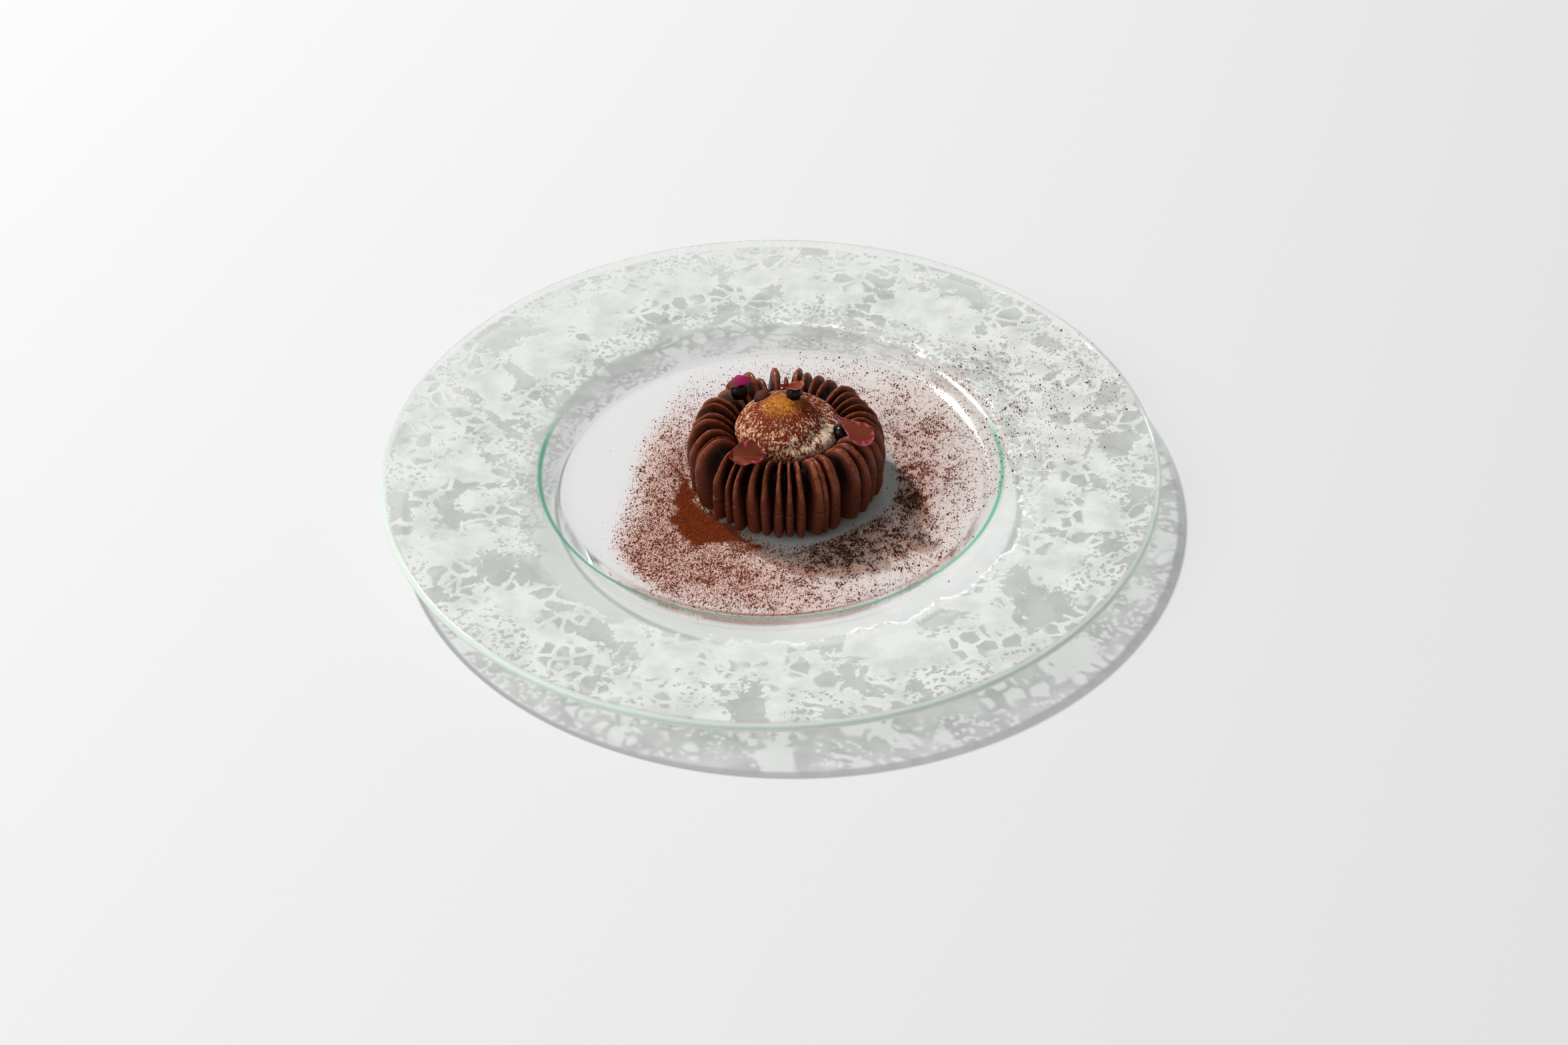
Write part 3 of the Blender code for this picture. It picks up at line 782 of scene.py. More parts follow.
def out_of_sockets(place, core):
    """Sinks a place, in millimetres, towards the core until it has left the berry that sits there."""
    for name, centre, size, dusty in BERRIES:
        off = place - Vector(centre)
        inside = (size + SOCKET_GAP) ** 2 - off.length_squared
        if inside > 0.0:
            inward = (core - place).normalized()
            along = off.dot(inward)
            place = place + inward * (math.sqrt(along * along + inside) - along)
    return place


# %% Wrap the grid into the collar
MOUSSE_CORE = Vector((MOUSSE_X, MOUSSE_Y, 14.0))
FULLEST = 0.965
CREST_START = 11.0
CREST_LENGTH = 20.0
NICK_HEIGHT = 0.4
NICK_WIDTH = 0.4
CAP_STRETCH = 1.8
CAP_SHARE = 0.85
FOOT_SPREAD = 0.45
FLANK_SPREAD = 0.12
SWELL = 0.09
RIPPLE = 0.35
FOOT_TO = 8.0
NICKS_TO = 30.0


def crease_angle(number, climb):
    """The angle of a crease; it strays a little to one side on its way up."""
    full_turns, which = divmod(number, len(layout))
    return layout[which]["angle"] + layout[which]["wander"] * climb + 2.0 * math.pi * full_turns


def collar_point(column, row):
    """The place of one grid point, over the mousse's own base centre."""
    number, place = divmod(column, COLUMNS)
    petal = layout[number % len(layout)]
    radius, height, depth, reach_share, rise_share = path[row]
    depth += CREST_DEEPENING * rise_share * (1.0 - petal["crest"])
    travelled = steps[row] * path_length
    crest = float(ease((travelled - CREST_START) / CREST_LENGTH))
    swell = noise.noise(Vector((petal["seed"], travelled / 9.0, 0.0)))
    share = min(blend(petal["side"], petal["crest"], crest) * (1.0 + SWELL * swell), FULLEST)
    stand = petal["reach"] * reach_share + petal["rise"] * rise_share
    stand += RIPPLE * noise.noise(Vector((travelled / 6.0, petal["seed"], 4.0)))
    climb = math.sin(math.pi * steps[row])
    first = crease_angle(number, climb)
    second = crease_angle(number + 1, climb)
    half = share * (second - first) / 2.0 * radius
    tall = max(depth + stand, 0.01)
    cap = min(CAP_STRETCH * half, CAP_SHARE * tall)
    if place == 0:
        across, ridge = -1.0, 0.0
    elif place in (1, COLUMNS - 1):
        across, ridge = math.copysign(blend(share, 1.0, FOOT_SPREAD), place - 2), 0.0
    elif place in (2, COLUMNS - 2):
        across = math.copysign(blend(share, 1.0, FLANK_SPREAD), place - 3)
        ridge = 0.5 * (tall - cap) / tall
    else:
        turn = math.radians(CAP_ANGLES[place - 3])
        across = share * math.sin(turn)
        ridge = (tall - cap + cap * math.cos(turn)) / tall
    ridge *= 1.0 + petal["skew"] * across
    if height < FOOT_TO:
        sunk = (petal["foot"] + petal["round"] - height) / petal["round"]
        ridge *= math.sqrt(max(0.0, 1.0 - min(max(sunk, 0.0), 1.0) ** 2))
    nick = 0.0
    if travelled < NICKS_TO and ridge > 0.5:
        middle = math.exp(-(((across / share + 0.15) / NICK_WIDTH) ** 2))
        nick = middle * math.exp(-(((height - petal["nick"]) / NICK_HEIGHT) ** 2))
        lip = middle * math.exp(-(((height - petal["nick"] + 1.0) / NICK_HEIGHT) ** 2))
        stand += petal["nick_depth"] * (0.2 * lip - nick)
    out = outward[row] * ((depth + stand) * ridge - depth)
    angle = blend(first, second, (across + 1.0) / 2.0)
    angle += petal["lean"] * min(ridge, 1.0) * (second - first) * depth / DEEPEST
    reach = radius + out[0]
    angle += 0.012 * crest * noise.noise(Vector((travelled / 12.0, 8.0, petal["seed"])))
    return (reach * math.cos(angle), reach * math.sin(angle), height + out[1]), ridge * (1.0 - 0.75 * nick)


total_columns = len(PETALS) * COLUMNS
start_fresh()
bpy.ops.mesh.primitive_grid_add(x_subdivisions=total_columns, y_subdivisions=len(path) - 1, size=2.0)
mousse = bpy.context.object
mousse.name = "mousse_with_petals"
ridges = np.zeros(len(mousse.data.vertices))
for vertex in mousse.data.vertices:
    column = round((vertex.co.x + 1.0) / 2.0 * total_columns)
    row = round((vertex.co.y + 1.0) / 2.0 * (len(path) - 1))
    spot, ridge = collar_point(column, row)
    ridges[vertex.index] = ridge
    place = Vector(spot) + Vector((MOUSSE_X, MOUSSE_Y, MOUSSE_BASE))
    vertex.co = out_of_sockets(place, MOUSSE_CORE) * MM
set_attribute(mousse, "ridge", ridges)
bpy.ops.object.mode_set(mode="EDIT")
bpy.ops.mesh.select_all(action="SELECT")
bpy.ops.mesh.remove_doubles(threshold=0.002 * MM)
bpy.ops.mesh.select_all(action="DESELECT")
bpy.ops.mesh.select_non_manifold()
bpy.ops.mesh.edge_face_add()
bpy.ops.mesh.select_all(action="SELECT")
bpy.ops.mesh.normals_make_consistent(inside=False)
bpy.ops.object.mode_set(mode="OBJECT")
bpy.ops.object.shade_smooth()
print("the mousse is", [round(value / MM, 1) for value in mousse.dimensions], "mm")

# %% [markdown]
# ## Chocolate and cocoa
# The ganache is a soft, fatty paste: satin and mid-brown, with painted shade that makes it nearly black
# where light can't reach between two petals, and small wet spots on the crest where it was smeared last.
# Cocoa was sieved from above, so it lies on the petals' ridges where they face up and on the upper half of
# the side, matt and redder. The mask follows the way each face looks, its height, and a cloud of fine grains.

# %% Mix the chocolate
chocolate, tree, output, in_mm = new_material("chocolate ganache with cocoa")
shape = add(tree, "NewGeometry")
facing = add(tree, "SeparateXYZ", {}, {0: shape.outputs["Normal"]})
height = add(tree, "SeparateXYZ", {}, {0: in_mm})
ridge = add(tree, "Attribute", {"attribute_name": "ridge"}).outputs["Fac"]
grain = add(tree, "TexNoise", {"Scale": 1 / 0.42, "Detail": 5.0, "Roughness": 0.75}, {"Vector": in_mm})
veil = add(tree, "TexNoise", {"Scale": 1 / 6.0, "Detail": 3.0}, {"Vector": in_mm})
upper = add(tree, "MapRange", {**SOFT_STEP, 1: 12.0, 2: 34.0}, {0: height.outputs["Z"]})

lying = add(tree, "MapRange", {**SOFT_STEP, 1: -0.15, 2: 0.55}, {0: facing.outputs["Z"]})
on_ridge = add(tree, "MapRange", {**SOFT_STEP, 1: 0.7, 2: 1.0}, {0: ridge})
lying_ridge = add(tree, "Math", PRODUCT, {0: lying, 1: on_ridge})
upper_ridge = add(tree, "Math", PRODUCT, {0: upper, 1: on_ridge})
laid = add(tree, "Math", SUM, {0: lying_ridge, 1: upper_ridge})
sieved = add(tree, "Math", {**SCALE_SHIFT, 1: 2.4, 2: -1.2}, {0: grain})
clouded = add(tree, "Math", {**SCALE_SHIFT, 1: 0.8, 2: -0.4}, {0: veil})
spread = add(tree, "Math", SUM, {0: sieved, 1: clouded})
dusted = add(tree, "Math", SUM, {0: laid, 1: spread})
cocoa_laid = add(tree, "MapRange", {**SOFT_STEP, 1: 0.92, 2: 1.3}, {0: dusted})

wet = add(tree, "TexNoise", {"Scale": 1 / 2.2, "Detail": 2.0}, {"Vector": in_mm})
wet_cloud = add(tree, "MapRange", {**SOFT_STEP, 1: 0.46, 2: 0.54}, {0: wet})
near_ridge = add(tree, "MapRange", {**SOFT_STEP, 1: 0.75, 2: 0.9}, {0: ridge})
on_crest = add(tree, "Math", PRODUCT, {0: upper, 1: near_ridge})
wet_spots = add(tree, "Math", PRODUCT, {0: wet_cloud, 1: on_crest})
dry = add(tree, "Math", {**SCALE_SHIFT, 1: -0.8, 2: 1.0}, {0: wet_spots})
cocoa_mask = add(tree, "Math", PRODUCT, {0: cocoa_laid, 1: dry})

tone = add(tree, "Mix", {**COLOURS, 6: linear("#56220c"), 7: linear("#6e3014")}, {0: veil})
# Painted shade: the creases between petals are darkened to near black, more on the crest than low on the side
crease = add(tree, "MapRange", {**SOFT_STEP, 1: 0.97, 2: 0.5}, {0: ridge})
shade = add(tree, "MapRange", {1: 12.0, 2: 27.0, 3: 0.35, 4: 0.95}, {0: height.outputs["Z"]})
crease_shade_mask = add(tree, "Math", PRODUCT, {0: crease, 1: shade})
deep = add(tree, "Mix", {**COLOURS, 7: linear("#1a0904")}, {0: crease_shade_mask, 6: tone})
dark = add(tree, "Mix", {**COLOURS, 7: linear("#864429")}, {0: cocoa_mask, 6: deep})
smooth = add(tree, "MapRange", {3: 0.55, 4: 0.24}, {0: wet_spots})
dull = add(tree, "Math", DIFFERENCE, {0: cocoa_mask, 1: wet_spots})
gloss = add(tree, "MapRange", {2: 0.8, 4: 0.85}, {0: dull, 3: smooth})

drawn_out = add(tree, "Mapping", {"Scale": (1 / 0.7, 1 / 0.7, 1 / 6.0)}, {"Vector": in_mm})
drag = add(tree, "TexNoise", {"Scale": 1.0, "Detail": 3.0}, {"Vector": drawn_out})
rough_skin = add(tree, "Math", PRODUCT, {0: grain, 1: dry})
relief = add(tree, "Math", SUM, {0: drag, 1: rough_skin})
bump = add(tree, "Bump", {"Strength": 0.3, "Distance": 0.0003}, {"Height": relief})
ganache = add(
    tree,
    "BsdfPrincipled",
    {"IOR": 1.46, "Specular IOR Level": 0.3},
    {"Base Color": dark, "Roughness": gloss, "Normal": bump},
)
tree.links.new(ganache.outputs["BSDF"], output.inputs["Surface"])
hand_over(mousse, chocolate, "chocolate", "mousse")

# %% [markdown]
# ## The cream
# A spoon or a piping bag left one soft dollop with a blunt tip off its middle, and the last swirl folded
# over the first on the right. A sphere is the right start, because the dollop is closed and round: its rings
# are laid along the dollop's section, then its outline, fold and tip are pushed as a spoon would.

# %% Shape the cream
CREAM_X, CREAM_Y = 7.4, -4.8
CREAM_APEX = (-2.4, 2.2)
CREAM_CORE = Vector((CREAM_X, CREAM_Y, 30.0))
CREAM_LOW, CREAM_HIGH = 24.6, 44.4
CREAM_PATH = (
    (0.0, 44.4),
    (2.6, 44.1),
    (6.0, 43.1),
    (9.8, 41.7),
    (13.2, 40.1),
    (16.1, 38.5),
    (18.4, 36.8),
    (20.1, 35.1),
    (21.0, 33.4),
    (21.0, 31.8),
    (20.2, 29.8),
    (18.4, 27.0),
    (15.8, 24.6),
    (0.0, 24.6),
)
CREAM_RINGS = 110
CREAM_SPOKES = 220
FLOW_REACH = 12.0
FOLD_DEPTH = 2.8
FOLD_WIDTH = 1.5
FOLD_ANGLE = -0.35
FOLD_HALF = 1.6
FOLD_HEIGHT = 38.6
FOLD_RISE = 2.4


def cream_fold(angle, height):
    """How deep the fold cuts in where the last swirl overlaps the first, on the right."""
    off_middle = angle - FOLD_ANGLE
    if abs(off_middle) > FOLD_HALF:
        return 0.0
    fade = max(0.0, math.cos(off_middle * 0.95)) ** 0.8
    return FOLD_DEPTH * fade * math.exp(-(((height - FOLD_HEIGHT - FOLD_RISE * angle) / FOLD_WIDTH) ** 2))


start_fresh()
bpy.ops.mesh.primitive_uv_sphere_add(segments=CREAM_SPOKES, ring_count=CREAM_RINGS, radius=1.0)
cream = bpy.context.object
cream.name = "whipped_cream"
ring_shares = np.linspace(0.0, 1.0, CREAM_RINGS + 1)
cream_path, cream_length = smooth_path(CREAM_PATH, ring_shares)
flow_around = np.zeros(len(cream.data.vertices))
flow_down = np.zeros(len(cream.data.vertices))
for vertex in cream.data.vertices:
    angle = math.atan2(vertex.co.y, vertex.co.x)
    ring = round(math.acos(max(-1.0, min(1.0, vertex.co.z))) / math.pi * CREAM_RINGS)
    reach, height = cream_path[ring]
    wave = 0.035 * math.cos(2 * angle - 0.9) + 0.022 * math.cos(3 * angle + 0.8)
    soft = 0.012 * noise.noise(Vector((math.cos(angle) * 2.2, math.sin(angle) * 2.2, height / 5.0)))
    reach *= 1.0 + wave + soft
    reach -= min(cream_fold(angle, height), 0.5 * reach)
    lift = ((height - CREAM_LOW) / (CREAM_HIGH - CREAM_LOW)) ** 2
    x = CREAM_X + reach * math.cos(angle) + CREAM_APEX[0] * lift
    y = CREAM_Y + reach * math.sin(angle) + CREAM_APEX[1] * lift
    vertex.co = out_of_sockets(Vector((x, y, height)), CREAM_CORE) * MM
    flow_around[vertex.index] = angle
    flow_down[vertex.index] = ring_shares[ring] * cream_length
# Cocoa fell thick round the tip and thin in the lee of the fold, on the low right lobe and along the foot
around = flow_around
sunk = vertex_places(cream)
fold_line = 38.2 + FOLD_RISE * around
lee = np.exp(-(((sunk[:, 2] - fold_line + 1.2) / 1.3) ** 2)) * ease(1.0 - np.abs(around + 0.45) / 1.25)
lobe = np.exp(-(((around + 0.5) / 0.42) ** 2)) * ease((36.0 - sunk[:, 2]) / 3.0)
foot = ease((33.5 - sunk[:, 2]) / 2.5) * ease(1.2 - np.abs(around + 1.3) / 1.2)
tip = ease((sunk[:, 2] - 37.0) / 6.0)
swirl = np.exp(-(((around - 0.15) / 0.5) ** 2)) * ease((sunk[:, 2] - 33.0) / 2.0) * (1.0 - tip)
set_attribute(cream, "sieved", 0.01 + 0.08 * tip + 0.07 * swirl - 0.11 * lee - 0.12 * lobe - 0.06 * foot)
flow = cream.data.attributes.new("flow", "FLOAT_VECTOR", "POINT")
for n, item in enumerate(flow.data):
    item.vector = (math.cos(flow_around[n]) * FLOW_REACH, math.sin(flow_around[n]) * FLOW_REACH, flow_down[n])
bpy.ops.object.shade_smooth()
print("the cream is", [round(value / MM, 1) for value in cream.dimensions], "mm")

# %% [markdown]
# ## Cream under cocoa and gold
# Whipped cream is off-white, matt and a little translucent. The cocoa slid a little as it fell, so it lies
# in short strokes that run downhill; the pattern is a cloud squeezed sideways, on coordinates that follow
# the dollop's own slope. A pinch of gold dust sits round the front of the tip.

# %% Mix the cream
GOLD_PLACE = (4.4, -3.4, 43.6)
GOLD_REACH, GOLD_CORE = 10.5, 3.0

whipped, tree, output, in_mm = new_material("whipped cream with cocoa and gold dust")
flowing = add(tree, "Attribute", {"attribute_name": "flow"})
squeezed = add(tree, "Mapping", {"Scale": (1.4, 1.4, 0.7)}, {"Vector": flowing.outputs["Vector"]})
strokes = add(tree, "TexNoise", {"Scale": 1.0, "Detail": 6.0, "Roughness": 0.72}, {"Vector": squeezed})
specks = add(tree, "TexNoise", {"Scale": 1 / 0.5, "Detail": 3.0}, {"Vector": in_mm})
patches = add(tree, "TexNoise", {"Scale": 1 / 3.4, "Detail": 2.0}, {"Vector": in_mm})
sieved = add(tree, "Attribute", {"attribute_name": "sieved"}).outputs["Fac"]
mixed = add(tree, "Math", {**SCALE_SHIFT, 1: 0.45}, {0: specks, 2: strokes})
patchy = add(tree, "Math", {**SCALE_SHIFT, 1: 0.28}, {0: patches, 2: mixed})
raised = add(tree, "Math", SUM, {0: patchy, 1: sieved})
cocoa_strokes = add(tree, "MapRange", {**SOFT_STEP, 1: 0.79, 2: 0.88}, {0: raised})

from_gold = add(tree, "VectorMath", {"operation": "DISTANCE", 1: GOLD_PLACE}, {0: in_mm})
gold_fade = add(tree, "MapRange", {**SOFT_STEP, 1: GOLD_REACH, 2: GOLD_CORE}, {0: from_gold})
gold_grain = add(tree, "TexNoise", {"Scale": 1 / 0.8, "Detail": 4.0, "Roughness": 0.7}, {"Vector": squeezed})
gold_fine = add(tree, "MapRange", {**SOFT_STEP, 1: 0.52, 2: 0.57}, {0: gold_grain})
gold_mask = add(tree, "Math", PRODUCT, {0: gold_fade, 1: gold_fine})
ochre_mask = add(tree, "Math", {**PRODUCT, 1: 0.4}, {0: gold_fade})

place = add(tree, "SeparateXYZ", {}, {0: in_mm})
to_right = add(tree, "MapRange", {**SOFT_STEP, 1: -4.0, 2: 22.0}, {0: place.outputs["X"]})
bare_cream = add(tree, "Mix", {**COLOURS, 6: linear("#f2bf9c"), 7: linear("#f0d4b8")}, {0: to_right})
laid_tone = add(tree, "Mix", {**COLOURS, 6: linear("#4e1204"), 7: linear("#83300c")}, {0: gold_grain})
cocoa_on = add(tree, "Mix", COLOURS, {0: cocoa_strokes, 6: bare_cream, 7: laid_tone})
ochre_on = add(tree, "Mix", {**COLOURS, 7: linear("#9a4a17")}, {0: ochre_mask, 6: cocoa_on})
gold_on = add(tree, "Mix", {**COLOURS, 7: linear("#f7ae2e")}, {0: gold_mask, 6: ochre_on})
cream_bump = add(tree, "Bump", {"Strength": 0.4, "Distance": 0.0004}, {"Height": cocoa_strokes})
cream_shader = add(
    tree,
    "BsdfPrincipled",
    {
        "Roughness": 0.72,
        "IOR": 1.45,
        "Specular IOR Level": 0.1,
        "Subsurface Weight": 0.04,
        "Subsurface Scale": 0.0008,
        "Subsurface Radius": (1.0, 0.7, 0.5),
    },
    {"Base Color": gold_on, "Normal": cream_bump},
)
tree.links.new(cream_shader.outputs["BSDF"], output.inputs["Surface"])
hand_over(cream, whipped, "cream", "cream")

# %% [markdown]
# ## Berries
# Four small dark berries with a taut, wet skin. A sphere is added at each one's size and place, dented at
# its stalk end, and roughened by a very small, slow swell, since no fruit is a ball. Each vertex is moved
# by a formula, because the same dent and swell are wanted on all four.

# %% Shape the berries
STALK_SIDE = Vector((0.5, 0.5, -0.7))
DENT_DEPTH = 0.12
DENT_WIDTH = 0.05
SWELL_DEPTH = 0.018
SWELL_LENGTH = 2.5

skin, tree, output, in_mm = new_material("dark berry skin")
shape = add(tree, "NewGeometry")
facing = add(tree, "SeparateXYZ", {}, {0: shape.outputs["Normal"]})
dusting = add(tree, "Attribute", {"attribute_name": "dusting"}).outputs["Fac"]
specks = add(tree, "TexNoise", {"Scale": 1 / 0.6, "Detail": 4.0, "Roughness": 0.7}, {"Vector": in_mm})
fall = add(tree, "Math", {**SCALE_SHIFT, 1: 0.35, 2: -0.2}, {0: facing.outputs["Z"]})
amount = add(tree, "Math", SUM, {0: dusting, 1: fall})
total = add(tree, "Math", SUM, {0: amount, 1: specks})
berry_mask = add(tree, "MapRange", {**SOFT_STEP, 1: 0.85, 2: 1.02}, {0: total})
berry_tone = add(tree, "Mix", {**COLOURS, 6: linear("#100708"), 7: linear("#4e2013")}, {0: berry_mask})
berry_gloss = add(tree, "MapRange", {3: 0.2, 4: 0.75}, {0: berry_mask})
berry_bump = add(tree, "Bump", {"Strength": 0.15, "Distance": 0.0003}, {"Height": specks})
berry_shader = add(
    tree,
    "BsdfPrincipled",
    {"IOR": 1.42, "Specular IOR Level": 0.3},
    {"Base Color": berry_tone, "Roughness": berry_gloss, "Normal": berry_bump},
)
tree.links.new(berry_shader.outputs["BSDF"], output.inputs["Surface"])

for name, centre, size, dusty in BERRIES:
    start_fresh()
    middle = Vector(centre) * MM
    bpy.ops.mesh.primitive_uv_sphere_add(segments=40, ring_count=26, radius=size * MM, location=middle)
    berry = bpy.context.object
    berry.name = name + "_skin"
    bpy.ops.object.transform_apply(location=True, rotation=True, scale=True)
    for vertex in berry.data.vertices:
        out = vertex.co - middle
        swell = 1.0 + SWELL_DEPTH * noise.noise(vertex.co / (SWELL_LENGTH * MM))
        stalk = out.normalized().dot(STALK_SIDE)
        dent = DENT_DEPTH * math.exp(-(((1.0 - stalk) / DENT_WIDTH) ** 2))
        vertex.co = middle + out * (swell - 0.012 - dent)
    bpy.ops.object.shade_smooth()
    set_attribute(berry, "dusting", np.full(len(berry.data.vertices), dusty))
    hand_over(berry, skin, "berry", name)

# %% [markdown]
# ## Rose petals
# Pieces of fresh rose petal, thinner than paper, curled as they dried. A fine grid is one petal laid flat:
# its length and width are drawn in by the petal's outline, then it is cupped, curled and folded, and the
# Solidify modifier gives it its thickness. Veins and the edge follow the petal's own UV map.

# %% Shape the rose petals
# The tear in the front petal: from one share of its length to another, and on which side of its middle
FRONT_TEAR = (0.45, 1.0, -0.35)
# Name, length, width, narrowness of the stalk end, cup, curl, fold, centre, turn, raggedness, tear
ROSE_PETALS = (
    ("rose_petal_back_left", 9.8, 7.6, 0.6, -1.3, -1.7, -0.5, (-13.3, 17.4, 41.1), (-6, -8, 20), 0.2, None),
    ("rose_petal_top", 9.8, 6.0, 0.3, 1.0, 1.2, 0.0, (8.9, -0.6, 48.9), (-8, 0, 2), 0.04, None),
    ("rose_petal_right", 19.4, 9.4, 0.16, 0.9, -1.0, 0.0, (33.2, -15.6, 39.3), (14, 12, -43), 0.12, None),
    ("rose_petal_front", 13.4, 10.8, 0.9, 0.6, -1.0, 0.9, (-9.6, -30.6, 38.4), (16, 3, 6), 0.3, FRONT_TEAR),
)
PETAL_SHEET = 0.35
ROSE_COLUMNS, ROSE_ROWS = 36, 26
# For each petal: colour of the middle, colour of the edge, colour of the stalk end, cocoa on it
ROSE_COLOURS = {
    "rose_petal_back_left": ("#8e1a4c", "#a8446e", "#7a4a3c", 0.3),
    "rose_petal_top": ("#7e2e1c", "#b87060", "#7a2e20", 0.5),
    "rose_petal_right": ("#7e3028", "#b04a66", "#9c5058", 0.6),
    "rose_petal_front": ("#96194a", "#b83868", "#6a1c28", 0.66),
}


def select_slit(rose, start, end, side):
    """Selects the faces along a tear: from one share of the length to another, on one side of the middle."""
    flat_map = rose.data.uv_layers.active.data
    for group in (rose.data.vertices, rose.data.edges):
        group.foreach_set("select", [False] * len(group))
    for face in rose.data.polygons:
        u, v = [sum(flat_map[n].uv[axis] for n in face.loop_indices) / len(face.vertices) for axis in (0, 1)]
        tear = 0.5 + 0.5 * side - 0.22 * (u - start)
        face.select = start < u < end and abs(v - tear) < 0.022


def half_width(along, width, stalk):
    """Half the width of a rose petal at a share of its length: a narrow stalk end and a round far end."""
    shifted = along ** blend(1.9, 1.0, stalk)
    body = math.sqrt(max(0.0, 1.0 - (2.0 * shifted - 1.0) ** 2))
    taper = blend(stalk, 1.0, min(1.0, along * 1.6))
    return 0.3 + 0.5 * width * body * taper


def rose_material(name, middle, edge, stalk_end, cocoa):
    """Thin, veined petal skin: velvety, with a paler edge and cocoa sieved on it."""
    material, tree, output, in_mm = new_material("rose petal " + name)
    flat_map = add(tree, "UVMap")
    uv = add(tree, "SeparateXYZ", {}, {0: flat_map})
    from_middle = add(tree, "Math", {**DIFFERENCE, 1: 0.5}, {0: uv.outputs["Y"]})
    side = add(tree, "Math", {"operation": "ABSOLUTE"}, {0: from_middle})
    ragged = add(tree, "TexNoise", {"Scale": 1 / 2.2, "Detail": 4.0}, {"Vector": in_mm})
    grown = add(tree, "Math", {**SCALE_SHIFT, 1: 0.9, 2: -0.47}, {0: ragged})
    out = add(tree, "Math", SUM, {0: side, 1: grown})
    at_side = add(tree, "MapRange", {**SOFT_STEP, 1: 0.4, 2: 0.52}, {0: out})
    far = add(tree, "Math", SUM, {0: uv.outputs["X"], 1: grown})
    at_tip = add(tree, "MapRange", {**SOFT_STEP, 1: 0.86, 2: 1.0}, {0: far})
    at_edge = add(tree, "Math", LARGER, {0: at_side, 1: at_tip})
    at_stalk = add(tree, "MapRange", {**SOFT_STEP, 1: 0.42, 2: 0.2}, {0: uv.outputs["X"]})
    toned = add(tree, "Mix", {**COLOURS, 6: linear(middle), 7: linear(edge)}, {0: at_edge})
    stalked = add(tree, "Mix", {**COLOURS, 7: linear(stalk_end)}, {0: at_stalk, 6: toned})
    grains = add(tree, "TexNoise", {"Scale": 1 / 1.1, "Detail": 6.0, "Roughness": 0.75}, {"Vector": in_mm})
    open_edge = add(tree, "Math", {**PRODUCT, 1: -0.3}, {0: at_edge})
    laid = add(tree, "Math", {**SUM, 1: cocoa - 0.5}, {0: grains})
    total = add(tree, "Math", SUM, {0: laid, 1: open_edge})
    powder = add(tree, "MapRange", {**SOFT_STEP, 1: 0.47, 2: 0.55}, {0: total})
    dusted = add(tree, "Mix", {**COLOURS, 7: linear("#6f2f1b")}, {0: powder, 6: stalked})
    bands = {"wave_type": "BANDS", "bands_direction": "Y", "Scale": 6.0, "Distortion": 4.0, "Detail": 2.0}
    veins = add(tree, "TexWave", bands, {"Vector": flat_map})
    bump = add(tree, "Bump", {"Strength": 0.12, "Distance": 0.0002}, {"Height": veins.outputs["Fac"]})
    skin = add(
        tree,
        "BsdfPrincipled",
        {"Roughness": 0.6, "Specular IOR Level": 0.12},
        {"Base Color": dusted, "Normal": bump},
    )
    tree.links.new(skin.outputs["BSDF"], output.inputs["Surface"])
    return material


for name, length, width, stalk, cup, curl, fold, centre, turn, raggedness, slit in ROSE_PETALS:
    start_fresh()
    bpy.ops.mesh.primitive_grid_add(x_subdivisions=ROSE_COLUMNS, y_subdivisions=ROSE_ROWS, size=2.0)
    rose = bpy.context.object
    rose.name = name + "_skin"
    turned = Euler([math.radians(angle) for angle in turn]).to_matrix()
    for vertex in rose.data.vertices:
        along_it = (vertex.co.x + 1.0) / 2.0
        side = vertex.co.y
        wave = raggedness * math.sin(7.0 * along_it + 3.0 * side)
        ruffle = raggedness * abs(side) ** 3 * math.sin(19.0 * along_it + 2.0 * side)
        height = cup * side**2 + curl * (2.0 * along_it - 1.0) ** 2 + fold * abs(side) + wave + ruffle
        ragged = 1.0 + raggedness * noise.noise(Vector((along_it * 4.5, 0.8 * side, length)))
        across = side * half_width(along_it, width, stalk) * ragged
        place = turned @ Vector(((along_it - 0.5) * length, across, height)) + Vector(centre)
        vertex.co = place * MM
    if slit is not None:
        select_slit(rose, *slit)
        bpy.ops.object.mode_set(mode="EDIT")
        bpy.ops.mesh.select_mode(type="FACE")
        bpy.ops.mesh.delete(type="FACE")
        bpy.ops.mesh.select_mode(type="VERT")
        bpy.ops.object.mode_set(mode="OBJECT")
    sheet = rose.modifiers.new("Sheet", "SOLIDIFY")
    sheet.thickness = PETAL_SHEET * MM
    sheet.offset = 0.0
    bpy.ops.object.modifier_apply(modifier="Sheet")
    bpy.ops.object.shade_smooth()
    hand_over(rose, rose_material(name, *ROSE_COLOURS[name]), "petal", name)

# %% [markdown]
# ## Cocoa grains
# Sieved cocoa falls as grains and small clumps from a tenth of a millimetre to about one. One grain is
# modelled as a four-sided cone closed by a point below, eight faces, and copied with its own size and turn
# to each place: so small a thing shows only as a speck with a light and a dark side.
# Clouds of two sizes thin the drifts into clumps, as static and damp draw cocoa together on glass.

